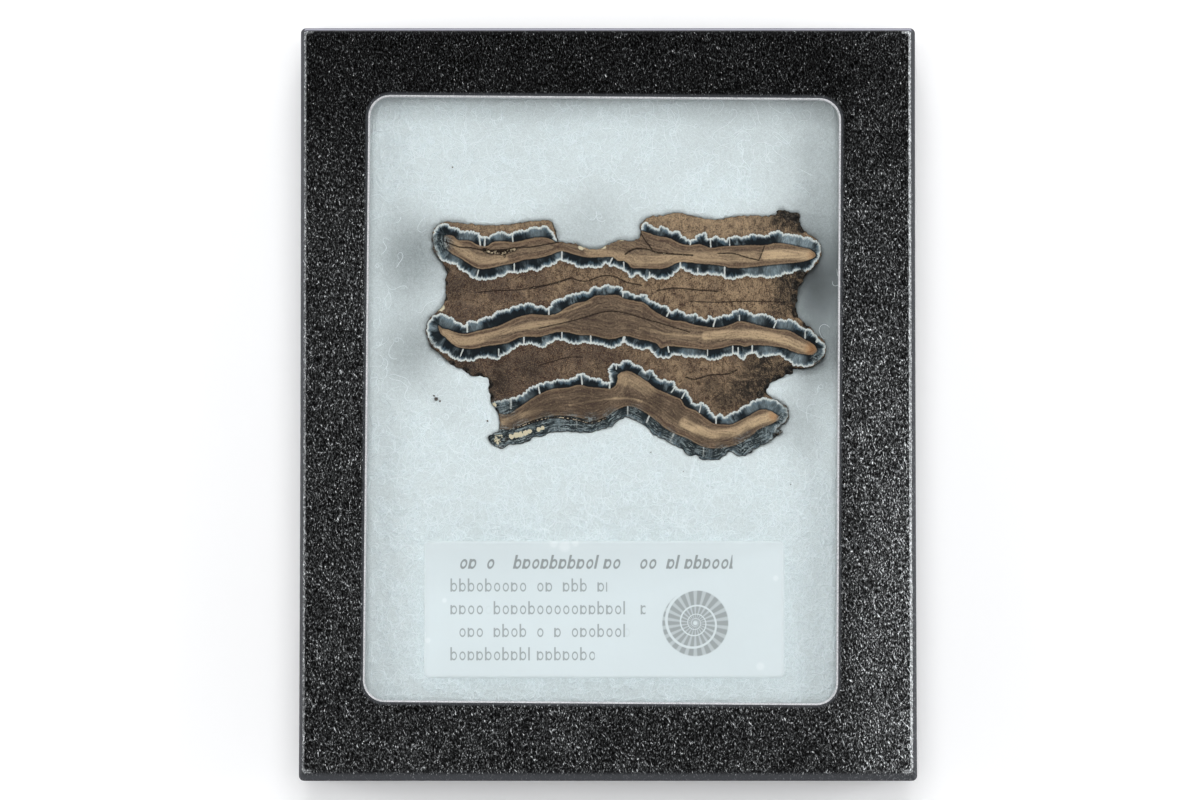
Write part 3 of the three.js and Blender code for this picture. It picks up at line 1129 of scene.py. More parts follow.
    MIDDLE_PLATE: ClassVar[Plate] = Plate(
        rim=(
            (432, 318), (440, 315), (447, 317), (456, 321), (463, 326), (466, 327), (469, 321), (475, 323),
            (484, 319), (493, 316.5), (498, 312.5), (506, 311), (511, 309), (518, 307), (527, 304.5),
            (540, 307), (549, 309), (553, 303), (560, 300), (572, 295.5), (581, 293), (588, 293.5),
            (593, 288.5), (601, 288), (609, 286), (618, 288), (622, 288.5), (624, 293), (630, 293),
            (637, 297.5), (642, 294.5), (647, 295.5), (649, 300.5), (657, 304.5), (667.5, 308), (671, 312),
            (678, 311), (683, 313), (687, 316.5), (695, 315), (705.5, 321), (708, 317), (714.7, 319.6),
            (721, 317), (729, 315.5), (737, 311), (745, 311.5), (751, 314), (758, 315.5), (767, 315.5),
            (776, 320.6), (786, 320.6), (792, 321.6), (797, 324), (802, 329), (810, 331), (815, 336),
            (822, 342), (826, 349), (824, 356), (818, 363), (809, 368.5), (797, 368.5), (790, 365.5),
            (784, 360.5), (778, 357), (768, 358), (759.5, 359.5), (752.5, 355), (746, 358.5), (743, 363.5),
            (737, 357), (731, 357), (721, 360.5), (709.5, 362), (698, 359.5), (688, 360), (680, 357),
            (667.5, 360), (657, 359), (650, 352.5), (642, 351.5), (632, 349), (625, 345), (620, 347.5),
            (611.5, 350.5), (603, 347.5), (591, 345.5), (581, 346), (570.5, 345.5), (562.5, 342),
            (551, 345), (542, 350.5), (536, 347), (527, 346.5), (518, 349), (506, 357), (498, 361.5),
            (487, 359.5), (475, 362.5), (462, 363), (456, 361.5), (447, 356), (438, 351), (431, 343),
            (427.5, 335), (428.5, 325),
        ),
        heart=(
            (439, 327), (443, 330), (451, 332), (460, 335), (467, 335.5), (475, 333.5), (486, 331),
            (498.5, 328), (509, 323), (518, 319), (531.5, 316), (548.5, 317), (558.5, 315), (565.5, 310),
            (576, 305), (586, 303), (596, 297.5), (606, 297), (618.5, 297), (625, 300.5), (637, 303),
            (645, 305), (652, 311), (665.5, 319), (673, 322), (683, 323), (693, 326), (700, 327.5),
            (710.5, 329), (721, 329), (731, 326), (739, 323), (751, 325), (762, 328), (777, 331),
            (788, 332), (797, 336.5), (804.5, 341), (813, 346), (817, 352), (813, 356), (802.5, 356),
            (792, 353), (785, 350), (772, 348), (760, 347), (751.5, 347), (745, 348.5), (739, 347),
            (731, 347.5), (721, 350), (706.5, 351.5), (695, 350), (688, 349.5), (678, 348.5),
            (667.5, 348), (661, 350), (657, 345.5), (650, 343), (637, 340.5), (629, 338), (622, 338.5),
            (615.5, 340.5), (606, 340.5), (591, 337), (581, 337), (566.5, 334), (557, 334), (549.5, 336),
            (540.5, 338.5), (527, 338.5), (518, 340), (509, 344.5), (486, 348), (473.5, 350.5),
            (460, 349.5), (454, 346.5), (447, 340), (440.5, 334),
        ),
    )

    BOTTOM_PLATE: ClassVar[Plate] = Plate(
        rim=(
            (476, 408), (493, 404), (500, 402.5), (509.5, 400), (517.5, 398), (525.5, 393), (530, 389),
            (537, 386), (546, 383.5), (555.5, 381), (566, 381), (574, 379), (580, 374), (586, 376),
            (592, 379.5), (598, 379), (605, 383), (609.5, 384), (610, 380), (608.5, 372), (611, 366),
            (618.5, 365), (625.5, 361.5), (632, 363), (638, 367), (644, 369), (646, 372), (651.5, 371.5),
            (657, 376), (658.5, 380.5), (665, 381), (674, 383), (677, 388.5), (679, 391), (685.5, 391),
            (689, 395.5), (691, 400), (697, 406), (702, 403.5), (707, 407), (711, 412.5), (715, 417),
            (720, 415), (725.5, 417.5), (731, 414.5), (738, 411), (744.5, 407), (751, 403), (761, 399.7),
            (768.5, 399), (777, 402), (786, 409), (788, 414), (787, 420), (781, 427), (776, 432),
            (775, 439), (766, 446.5), (752, 453.5), (742, 460), (731, 455), (720, 463), (709, 464),
            (697, 461.5), (688, 458.5), (676, 449.5), (665, 443), (653, 438), (641, 427), (634, 422.5),
            (626, 420.5), (618, 424.5), (611, 430), (602, 432.5), (591, 435.5), (575, 435), (558, 435),
            (542, 440), (529, 444), (521, 447), (508, 448.5), (496, 449), (476, 451),
        ),
        heart=(
            (474, 420), (497, 415), (507, 416), (517.5, 410.5), (529, 402.5), (540.5, 395.5), (552, 391),
            (569, 389), (580, 386.5), (589, 388.5), (602, 389.7), (612, 390), (617.5, 384), (618.5, 376),
            (624.5, 373), (630, 373), (638, 377), (647, 383), (656, 390), (665, 394), (674, 398),
            (681, 401), (685.5, 408), (696, 412.5), (706, 420), (714, 425), (722.5, 426), (731, 426),
            (740, 422), (749, 417.5), (757, 412.5), (764.5, 411), (771, 413), (776, 416), (780, 419),
            (776, 423), (768.5, 427), (759, 431), (749, 439.5), (740, 445), (731, 448), (719, 450),
            (707, 449.5), (700, 447), (687, 440), (674.5, 435), (665, 429.5), (656, 422), (644, 413.5),
            (635, 409), (626.5, 408), (617.5, 411.5), (607, 418), (593, 423), (578, 419), (552, 417.5),
            (528, 424), (513, 431), (500, 431), (474, 434),
        ),
    )

    PLATES: ClassVar[Sequence[Plate]] = (TOP_PLATE, MIDDLE_PLATE, BOTTOM_PLATE)

    # White rifts across the enamel: both ends, and half the width
    RIFTS: ClassVar[Rows] = (
        (479.5, 237, 481, 249, 1.0), (485.5, 238, 485, 249, 1.0), (512.5, 235, 513.5, 245, 0.6),
        (691, 242, 690.5, 248, 0.7), (710.5, 240, 711, 249, 0.6), (729.5, 239, 730, 248, 0.3),
        (479, 272, 477, 280, 0.5), (514.7, 265.5, 514.7, 274, 0.7), (562.3, 253, 562, 264, 0.9),
        (612.5, 260, 609, 268, 0.8), (624, 264, 624.5, 272, 0.5), (649.8, 274, 649.8, 281, 0.7),
        (680.6, 264, 680.6, 272, 0.9), (698, 270, 698, 277, 0.4), (724.8, 269, 724.8, 280, 1.0),
        (467.9, 323, 467.9, 333.6, 1.1), (549.3, 308, 549.3, 316, 0.9), (623.2, 292, 623.2, 298.7, 0.6),
        (670.5, 311, 667, 318, 0.8), (716, 319, 713.5, 328, 0.9), (739.5, 317, 739.5, 323, 0.3),
        (776.3, 324, 773.7, 329.5, 0.7), (805, 333.5, 805, 340, 0.5), (818.5, 339, 816.5, 343.5, 1.8),
        (463.8, 351, 461, 358, 0.6), (499.3, 351, 499.3, 357.5, 0.5), (524.4, 339, 524.4, 346, 0.8),
        (562.3, 334, 562.3, 342, 0.5), (591, 337.5, 591, 345.5, 1.0), (624.5, 339, 622.5, 347, 2.2),
        (667.9, 347, 669.2, 354, 0.9), (732.8, 348, 732.8, 356, 0.8), (738.2, 349.6, 738.2, 356, 0.7),
        (752.2, 347, 752.2, 355, 0.8), (707.6, 351, 707.6, 357.6, 0.3),
        (511.5, 401, 511.5, 410, 1.3), (538.6, 388, 540.5, 396, 0.8), (581.5, 375, 582.5, 386, 0.8),
        (609.9, 383, 609.9, 390, 1.0), (616.6, 365.5, 616.6, 371, 0.5), (676.6, 387, 671.5, 394, 0.7),
        (686, 392, 682, 400, 0.7), (701.3, 405.8, 699.5, 414, 0.6), (716, 416.5, 716, 425, 0.9),
        (628, 408, 628, 416, 0.7), (649.4, 417.7, 646.7, 424, 1.0), (674.2, 435, 670.2, 443, 1.0),
        (577, 420.4, 577, 428.4, 0.8), (703.6, 449, 703.6, 458, 0.8),
    )

    # Dark cracks: half the width, how deep in millimetres, and the line
    CRACKS: ClassVar[Sequence[tuple[float, float, Stroke]]] = (
        (0.35, 0.2, ((445.5, 243.5), (461, 249), (471, 249.5), (483, 252), (496, 252), (514, 250.5),
                     (523, 249), (530, 249), (545, 246.5), (559, 244))),
        (1.9, 0.6, ((485, 252), (491, 254), (497, 253.5), (503, 255), (508, 253), (515, 251))),
        (0.7, 0.4, ((505, 254), (505, 258.5))),
        (0.5, 0.3, ((625.5, 256), (634, 251), (648, 251), (656.5, 254), (676, 256), (693, 257))),
        (0.3, 0.2, ((718, 255), (735, 255.5), (746, 259), (759, 262))),
        (0.25, 0.15, ((764.5, 248), (762, 255), (759, 262))),
        (0.25, 0.15, ((641, 235), (646, 243), (652, 250.5))),
        (0.2, 0.1, ((479, 294), (497, 292.5), (514, 292), (528, 290.5))),
        (0.55, 0.25, ((530, 290), (542, 288), (555, 285), (570.5, 280))),
        (0.3, 0.15, ((571, 280), (586, 283), (601, 278), (613.5, 278), (627, 284), (642, 287))),
        (0.3, 0.15, ((657, 292.5), (673, 290), (700, 292), (718, 293))),
        (0.2, 0.1, ((690, 303), (715, 304), (748, 303), (785, 304))),
        (0.2, 0.1, ((540, 367), (552, 363.5), (568.5, 359), (583, 359))),
        (0.45, 0.2, ((686, 379), (695, 381), (708.5, 377), (728, 375.5), (737, 371.5))),
        (0.9, 0.12, ((516, 430), (538, 422), (556, 419), (575, 421), (592, 424.5), (606, 420))),
        (0.25, 0.1, ((540, 330), (575, 322), (612, 313), (650, 322), (690, 334))),
    )

    # Light stripes in the dentine: half the width, strength, and the line
    STRIPES: ClassVar[Sequence[tuple[float, float, Stroke]]] = (
        (4.6, 0.6, ((446, 334), (455, 341), (468, 343), (482, 340))),
        (3.2, 0.5, ((480, 340), (498, 335), (518, 330), (540, 326), (566, 323))),
        (0.9, 0.6, ((552, 316.5), (570, 312), (592, 303.5))),
        (1.2, 0.5, ((640, 330), (668, 336), (704, 338))),
        (4.6, 0.9, ((706, 338), (732, 336), (759, 336.5), (783, 341.5), (806, 350))),
        (5.2, 1.0, ((766, 257), (786, 256), (808, 257))),
        (4.2, 0.5, ((454, 245), (470, 257), (486, 262), (505, 260))),
        (5.5, 0.55, ((590, 253), (640, 262), (690, 259), (755, 259))),
        (5.0, 1.0, ((684, 424), (697, 431), (715, 436), (734, 433.5), (753, 424), (772, 417.5))),
        (6.5, 0.5, ((621, 380), (634, 384), (650, 393))),
        (3.2, 0.6, ((504, 424), (520, 418), (540, 412))),
        (0.9, 0.8, ((570, 407), (596, 402.5), (622, 400), (642, 403), (656, 411))),
        (0.5, 0.6, ((530, 406), (560, 399), (600, 397))),
    )

    RUSTY: ClassVar[Sequence[Spot]] = scatter(
        (811, 351, 7), (774, 417, 6), (812, 257, 5, 0.6), (690, 285, 22, 0.25),
    )
    PALE: ClassVar[Sequence[Spot]] = scatter(
        (469, 238, 7, 0.6), (500, 239, 6, 0.5), (537, 234, 9, 0.5), (456, 261, 8, 0.4),
        (790, 242, 11, 1.0), (806, 246, 8, 0.9), (775, 272, 14, 0.6), (752, 274, 8, 0.5),
        (450, 322, 10, 0.5), (476, 328, 7, 0.5), (610, 291, 4, 0.8), (757, 320, 9, 0.4),
        (785, 327, 9, 0.5), (690, 355, 10, 0.4), (768, 352, 9, 0.5), (797, 362, 9, 0.8),
        (770, 405, 12, 0.6), (752, 410, 8, 0.5), (772, 438, 11, 0.9), (784, 416, 7, 0.8),
        (700, 410, 6, 0.3), (528, 399, 8, 0.3),
    )
    WORN: ClassVar[Sequence[Spot]] = scatter(
        (434, 243, 7, 0.8), (440, 252, 6, 0.6), (446, 245, 8, 0.7), (503, 440, 13, 0.9),
        (525, 438, 16, 0.8), (548, 429, 13, 0.8), (570, 429, 14, 0.8), (592, 429, 13, 0.8),
        (614, 423, 12, 0.8), (634, 416, 10, 0.6), (652, 430, 10, 0.6), (668, 439, 9, 0.6),
        (684, 450, 10, 0.65), (702, 457, 10, 0.65), (722, 455, 9, 0.7), (748, 450, 15, 0.7),
        (768, 440, 13, 0.6), (784, 420, 8, 0.6), (786, 409, 6, 0.5), (818, 360, 7, 0.7),
        (508, 410, 10, 0.5), (494, 408, 7, 0.7), (432, 345, 6, 0.4), (781, 431, 6, 1.0),
    )
    CREAMY: ClassVar[Sequence[Spot]] = scatter(
        (512, 438, 3), (516.5, 437, 3.6), (521, 436, 3.6), (526, 434.5, 3.2), (530, 433, 2.6),
        (539, 431, 2.8), (543, 429.5, 2.4), (441, 309, 5), (448, 247, 6, 0.35), (582, 248, 5, 0.8),
        (603, 248, 5, 0.8), (622, 241, 3.5, 0.7), (495, 407, 3.5, 0.8), (499, 441, 8, 0.55),
        (780, 211, 3, 0.6), (612, 244, 3, 0.6),
    )
    CRUST: ClassVar[Sequence[Spot]] = scatter(
        (797, 219, 8), (788, 217, 7, 0.8), (802, 230, 6), (801, 276, 6), (796, 287, 6),
        (795, 300, 6), (797, 314, 7), (806, 327, 4), (790, 374, 6), (777, 381, 6),
        (768, 391, 6), (760, 396, 5, 0.8), (446, 285, 3), (446, 300, 3), (447, 272, 4),
        (452, 366, 5), (466, 374, 6), (480, 379, 6), (490, 386, 5), (491, 398, 5),
        (497, 413, 3), (507, 441, 3, 0.7), (490, 434, 3, 0.7), (545, 438, 3, 0.6),
        (775, 437, 4, 0.7),
    )
    STAINS: ClassVar[Sequence[Spot]] = scatter(
        (530, 370, 16, 0.5), (762, 368, 20, 1.0), (785, 372, 16, 1.0), (745, 390, 20, 1.0),
        (765, 385, 16, 1.0), (788, 283, 18, 1.0), (786, 300, 16, 0.9), (778, 312, 12, 0.7),
        (792, 270, 12, 0.8), (725, 400, 13, 0.8), (712, 388, 12, 0.6), (455, 290, 13, 0.4),
        (500, 385, 14, 0.7), (782, 220, 15, 1.0), (795, 225, 12, 1.0), (600, 372, 14, 0.3),
        (500, 372, 12, 0.5), (468, 368, 12, 0.6), (760, 226, 10, 0.4), (475, 280, 16, 0.3),
    )
    DUSKY: ClassVar[Sequence[Spot]] = scatter(
        (545, 412, 24, 1.0), (590, 404, 24, 1.0), (515, 424, 12, 0.7), (628, 402, 12, 0.7),
        (600, 324, 28, 0.6), (640, 327, 18, 0.5), (700, 442, 10, 0.6), (655, 405, 14, 1.0),
        (570, 325, 18, 0.4), (676, 413, 12, 0.9), (693, 421, 8, 0.6), (665, 332, 12, 0.3),
        (640, 392, 9, 0.35), (725, 443, 9, 0.7), (748, 434, 7, 0.6), (536, 395, 10, 0.5),
        (570, 395, 14, 0.6),
    )

    @classmethod
    def middle(cls) -> Array:
        """The middle of the outline's box, in grid steps."""
        corners = np.array(cls.OUTLINE, float)
        return (corners.min(0) + corners.max(0)) / 2

    @classmethod
    def lay_out(cls, stroke: Stroke, place: Array) -> Array:
        """A stroke in millimetres, with the plan's middle at the place.

        Args:
            stroke: points in grid steps.
            place: where the plan's middle goes, in millimetres.

        Returns:
            The points in the case's frame.
        """
        offset = (np.array(stroke, float) - cls.middle()) / cls.STEPS_PER_MM
        return place + offset * np.array([1.0, -1.0])

    @classmethod
    def patches(cls, places: Array, spots: Sequence[Spot], place: Array) -> Array:
        """How strongly the nearest spots cover each place.

        Args:
            places: where to measure, in millimetres.
            spots: the spots.
            place: where the plan's middle goes.

        Returns:
            A share from 0 to 1 for each place.
        """
        cover = np.zeros(len(places))
        for spot in spots:
            centre = cls.lay_out([(spot.x, spot.y)], place)[0]
            gone = np.linalg.norm(places - centre, axis=1) * cls.STEPS_PER_MM / spot.radius
            cover = np.maximum(cover, spot.strength * (1 - ease(gone, 0.35, 1.35)))
        return cover


# ---------------------------------------------------------------- sub-assemblies


@dataclass
class MolarSlice:
    """The slice, with its cut face modelled line by line from the plan."""

    pitch_mm: float = 0.215
    crease_clear_mm: float = 0.1
    wall_rings: int = 9
    wall_roughness_mm: float = 0.22
    wall_taper_mm: float = 0.6
    line_step_mm: float = 0.35
    crack_step_mm: float = 0.3
    crease_step_mm: float = 0.2
    outline_step_mm: float = 0.2
    within_box_mm: float = 0.02
    far_mm: float = 2.0
    plates_apart_mm: float = 300.0
    rift_share: float = 0.45
    # The dark band along the outline, partly crust and partly painted shade at the slice's edge: its
    # strength and its width
    edge_crust_and_shade: float = 0.66
    edge_crust_and_shade_mm: float = 0.26
    enamel_sunk_mm: float = 0.03
    cement_sunk_mm: float = 0.07
    dentine_sunk_mm: float = 0.04
    crust_sunk_mm: float = 0.9
    edge_sunk_mm: float = 0.12
    outline: Array = field(init=False)
    low: Array = field(init=False)
    high: Array = field(init=False)
    place: Array = field(init=False)

    def __post_init__(self) -> None:
        """Takes the slice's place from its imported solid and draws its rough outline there."""
        self.low, self.high = in_mm(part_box("molar_slice"))
        self.place = (self.low[:2] + self.high[:2]) / 2
        loop = anticlockwise(self.drawn(ToothPlan.OUTLINE, self.outline_step_mm, closed=True))
        rough = 0.09 * ripple(loop, 1.1, 11) + 0.05 * ripple(loop, 0.5, 12) - 0.05
        rough_loop = loop + outward(loop) * rough[:, None]
        within = self.within_box_mm
        self.outline = np.clip(rough_loop, self.low[:2] + within, self.high[:2] - within)

    def drawn(self, stroke: Stroke, step: float, closed: bool = False) -> Array:
        """A stroke of the plan as a flowing line at the slice's place, in millimetres."""
        return flowing_line(ToothPlan.lay_out(stroke, self.place), step, closed)

    def creases(self) -> list[Array]:
        """The rifts and cracks, as lines that the mesh's edges follow.

        Returns:
            Each line's points.
        """
        lines = [ToothPlan.lay_out([(x, y), (to_x, to_y)], self.place)
                 for x, y, to_x, to_y, _ in ToothPlan.RIFTS]
        lines += [self.drawn(line, self.crack_step_mm) for _, _, line in ToothPlan.CRACKS]
        return [even_steps(line, self.crease_step_mm, closed=False) for line in lines]

    def net(self) -> Net:
        """The cut face as a flat net whose edges follow the creases.

        Returns:
            The net.
        """
        creases = [line for line in self.creases() if inside(line, self.outline).all()]
        filling = staggered_grid(self.low[:2], self.high[:2], self.pitch_mm)
        filling = filling[depth_inside(filling, self.outline).distance > 0.6 * self.pitch_mm]
        for line in creases:
            filling = filling[reach(filling, line).distance > self.crease_clear_mm]
        return spread_net(self.outline, filling, creases)

    def markings(self, places: Array) -> dict[str, Array]:
        """The numbers that the finish reads, for each place.

        Args:
            places: where, in millimetres.

        Returns:
            Each number's values by its name.
        """
        outer = np.full(len(places), -np.inf)
        inner = np.full(len(places), -np.inf)
        along = np.zeros(len(places))
        for index, plate in enumerate(ToothPlan.PLATES):
            to_rim = depth_inside(places, self.drawn(plate.rim, self.line_step_mm, closed=True))
            to_heart = depth_inside(places, self.drawn(plate.heart, self.line_step_mm, closed=True))
            nearer = to_rim.distance > outer
            outer = np.where(nearer, to_rim.distance, outer)
            inner = np.where(nearer, to_heart.distance, inner)
            along = np.where(nearer, to_rim.along + self.plates_apart_mm * index, along)
        marks = {"outer": outer, "inner": inner, "along": along}
        rifts = [(self.rift_share * half, [(x, y), (to_x, to_y)])
                 for x, y, to_x, to_y, half in ToothPlan.RIFTS]
        marks["rift"] = self.width_left(places, rifts)
        marks["crack"] = self.width_left(places, [(half, line) for half, _, line in ToothPlan.CRACKS])
        marks["light"] = self.stripes(places)
        patchy = {"rusty": ToothPlan.RUSTY, "pale": ToothPlan.PALE, "worn": ToothPlan.WORN,
                  "creamy": ToothPlan.CREAMY, "stain": ToothPlan.STAINS, "dusky": ToothPlan.DUSKY}
        for name, spots in patchy.items():
            marks[name] = ToothPlan.patches(places, spots, self.place)
        edge = depth_inside(places, self.outline).distance
        crust = ToothPlan.patches(places, ToothPlan.CRUST, self.place)
        # Crust patches, and a dark band along the whole outline that is partly crust and partly painted
        # edge shade
        marks["crust"] = np.maximum(crust, self.edge_crust_and_shade * (1 - ease(edge, 0.0, self.edge_crust_and_shade_mm)))
        marks["edge"] = edge
        return marks

    def stripes(self, places: Array) -> Array:
        """How strongly the light stripes of the dentine cover each place, from 0 to 1.

        Args:
            places: where, in millimetres.

        Returns:
            The cover at each place.
        """
        cover = np.zeros(len(places))
        for half, strength, line in ToothPlan.STRIPES:
            away = reach(places, self.drawn(line, self.line_step_mm)).distance
            gone = away * ToothPlan.STEPS_PER_MM / half
            cover = np.maximum(cover, strength * (1 - ease(gone, 0.55, 1.25)))
        return cover

    def width_left(self, places: Array, lines: Sequence[tuple[float, Stroke]]) -> Array:
        """How far each place lies from the nearest line's own width, at most far_mm.

        Args:
            places: where, in millimetres.
            lines: half the width in grid steps, and the line.

        Returns:
            The distance in millimetres, 0 or less within the width.
        """
        left = np.full(len(places), self.far_mm)
        for half, line in lines:
            path = self.drawn(line, self.line_step_mm)
            near = (np.abs(places - path.mean(0)) < np.ptp(path, axis=0) / 2 + self.far_mm + 0.5).all(1)
            gap = reach(places[near], path).distance - half / ToothPlan.STEPS_PER_MM
            left[near] = np.minimum(left[near], gap)
        return left

    def relief(self, places: Array, marks: dict[str, Array]) -> Array:
        """How far the cut face lies under the slice's highest plane.

        Args:
            places: where, in millimetres.
            marks: the numbers from markings.

        Returns:
            A depth in millimetres for each place.
        """
        cement = ease(-marks["outer"], -0.1, 0.3)
        dentine = ease(marks["inner"], -0.1, 0.3)
        sunk = self.enamel_sunk_mm + self.cement_sunk_mm * cement + self.dentine_sunk_mm * dentine
        sunk += 0.02 * (1 + ripple(places, 6.0, 21)) + cement * 0.025 * (1 + ripple(places, 0.8, 22))
        for half, depth, line in ToothPlan.CRACKS:
            sunk += depth * (1 - ease(self.width_left(places, [(half, line)]), -0.15, 0.18))
        patches = ToothPlan.patches(places, ToothPlan.CRUST, self.place)
        near_edge = 1 - ease(marks["edge"], 0.0, 1.4)
        sunk += patches * near_edge * (self.crust_sunk_mm + 0.25 * ripple(places, 1.1, 23))
        sunk += 0.1 * patches * (1 + ripple(places, 0.7, 24))
        sunk += self.edge_sunk_mm * (1 - ease(marks["edge"], 0.0, 0.3))
        return np.maximum(sunk, 0.0)

    def build(self) -> Piece:
        """Builds the slice: the cut face, rough walls and a plain underside.

        Returns:
            The slice.
        """
        net = self.net()
        marks = self.markings(net.places)
        top = self.high[2] - self.relief(net.places, marks)
        vertices = [np.column_stack([net.places, top])]
        faces = net.faces.tolist()
        ring, count = net.loop, len(net.places)
        inward = self.outline.mean(0) - self.outline
        inward /= np.linalg.norm(inward, axis=1)[:, None]
        for index in range(1, self.wall_rings + 1):
            share = index / self.wall_rings
            height = top[net.loop] * (1 - share) + self.low[2] * share
            rough = 1 + ripple(self.outline, 1.3, 30 + index)
            shift = self.wall_taper_mm * share + self.wall_roughness_mm * rough
            vertices.append(raised(self.outline + inward * shift[:, None], height))
            ring, count = wall(faces, ring, count)
        underside = spread_net(vertices[-1][:, :2], np.empty((0, 2)))
        lookup = {index: ring[position] for position, index in enumerate(underside.loop)}
        faces += [tuple(lookup[corner] for corner in face[::-1]) for face in underside.faces.tolist()
                  if all(corner in lookup for corner in face)]
        piece = make_piece("molar_slice_cut", np.vstack(vertices), faces)
        extra = count - len(net.places)
        far = self.far_mm
        wall_values = {"crust": 1.0, "outer": -far, "inner": -far, "rift": far, "crack": far}
        for name, values in marks.items():
            note(piece, name, np.concatenate([values, np.full(extra, wall_values.get(name, 0.0))]))
        return piece

    def dress(self) -> Piece:
        """Builds the slice and gives it its finish.

        Returns:
            The slice.
        """
        piece = self.build()
        settle(piece, "fossil_tooth", Tooth().material(), "molar_slice")
        return piece


@dataclass
class FibrePad:
    """The white pad: pressed flat against the pane, sunk round the slice, with hollows beside it."""

    pitch_mm: float = 0.95
    lip_step_mm: float = 0.4
    seat_clear_mm: float = 0.08
    seat_floor_mm: float = 0.3
    seat_shade_mm: float = 3.0
    corner_mm: float = 2.0
    edge_round_mm: float = 2.2
    edge_steps: int = 5
    general_dip_mm: float = 0.3
    least_dip_mm: float = 0.02
    rim_dip_mm: float = 0.12
    low: Array = field(init=False)
    high: Array = field(init=False)

    # Where the pad sinks beside the slice, which also paints shade there: x, y, radius and depth, all in
    # millimetres
    HOLLOWS: ClassVar[Rows] = (
        (41.5, 30.0, 10.0, 1.6), (39.5, 21.0, 7.5, 2.5), (41.0, 9.0, 8.5, 1.9), (46.0, 47.0, 13.0, 1.15),
        (-37.0, 27.0, 8.5, 2.15), (-37.0, 9.0, 8.0, 1.75),
        (-3.0, 31.5, 9.0, 1.2), (-29.0, -2.0, 6.0, 0.8), (36.0, -6.0, 7.0, 1.2), (-22.0, 52.0, 22.0, 0.9),
        (20.0, 52.0, 22.0, 0.9),
    )

    # How far sunk the pad must be for its painted shade to begin and to be full, and the same for its
    # darkest painted shade
    DIM_MM: ClassVar[tuple[float, float]] = (0.6, 3.2)
    DARK_MM: ClassVar[tuple[float, float]] = (2.4, 4.2)

    def __post_init__(self) -> None:
        """Takes the pad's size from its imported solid."""
        self.low, self.high = in_mm(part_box("fibre_padding"))

    def sunk(self, places: Array, outline: Array) -> Array:
        """How far the pad's face lies under its highest plane.

        Args:
            places: where, in millimetres.
            outline: the slice's outline.

        Returns:
            A depth in millimetres for each place.
        """
        waves = 1 + 0.4 * ripple(places, 26.0, 41) + 0.12 * ripple(places, 7.0, 42)
        sunk = np.maximum(self.general_dip_mm * 0.5 * waves, self.least_dip_mm)
        sunk += 0.05 * (1 + ripple(places, 2.2, 43))
        away = np.maximum(-depth_inside(places, outline).distance, 0)
        sunk += self.rim_dip_mm * np.exp(-away / 0.8)
        for x, y, radius, depth in self.HOLLOWS:
            gone = np.linalg.norm(places - np.array([x, y]), axis=1) / radius
            sunk += depth * np.exp(-gone ** 2)
        return np.maximum(sunk, 0.0)

    def ring(self, margin: float) -> Array:
        """The pad's outline, set in by the margin.

        Args:
            margin: how far, in millimetres.

        Returns:
            The ring's points.
        """
        size = (self.high - self.low)[:2] - 2 * margin
        radius = self.corner_mm + self.edge_round_mm - margin
        return rounded_ring(size, radius, 6, 40) + (self.low + self.high)[:2] / 2

    def sides(self, edge_top: Array) -> list[tuple[float, Union[float, Array]]]:
        """How far in and how high each ring of the pad's rounded sides lies.

        Args:
            edge_top: the height of the face where the rounding begins.

        Returns:
            The margin and the height of each ring, from the top down.
        """
        inset = self.edge_round_mm
        angles = np.linspace(0, math.pi / 2, self.edge_steps + 1)[1:]
        profile = [(math.sin(angle), 1 - math.cos(angle)) for angle in angles]
        steps = [(inset * (1 - out), edge_top - inset * down) for out, down in profile]
        steps += [(inset * (1 - out), self.low[2] + inset * down) for out, down in profile[::-1]]
        return steps + [(inset, self.low[2])]

    def sink_seat(self, face: Array, seat: list[list[int]], triangles: list) -> Array:
        """Lowers the seat's triangles and walls them in.

        Args:
            face: the vertices of the pad's face.
            seat: the seat's triangles on that face.
            triangles: those round the seat. The seat's floor and its wall are added to them.

        Returns:
            The floor's vertices, which come after those of the face.
        """
        corners = np.unique(seat)
        copies = {int(corner): len(face) + index for index, corner in enumerate(corners)}
        kept = {frozenset(pair) for triangle in triangles
                for pair in zip(triangle, triangle[1:] + triangle[:1])}
        triangles += [[copies[corner] for corner in triangle] for triangle in seat]
        for triangle in seat:
            for start, end in zip(triangle, triangle[1:] + triangle[:1]):
                if frozenset((start, end)) in kept:
                    triangles.append([copies[end], copies[start], start])
                    triangles.append([copies[end], start, end])
        return raised(face[corners, :2], in_mm(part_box("molar_slice"))[0][2] - self.seat_floor_mm)

    def net(self, lip: Array) -> Net:
        """The pad's face as a flat net.

        Args:
            lip: the line round the seat, which the net's edges follow.

        Returns:
            The net.
        """
        rim = self.ring(self.edge_round_mm)
        filling = staggered_grid(self.low[:2] + self.edge_round_mm, self.high[:2] - self.edge_round_mm,
                                 self.pitch_mm)
        clear = 0.4 * self.pitch_mm
        filling = filling[depth_inside(filling, rim).distance > clear]
        filling = filling[reach(filling, lip, closed=True).distance > clear]
        return spread_net(rim, filling, [np.vstack([lip, lip[:1]])])

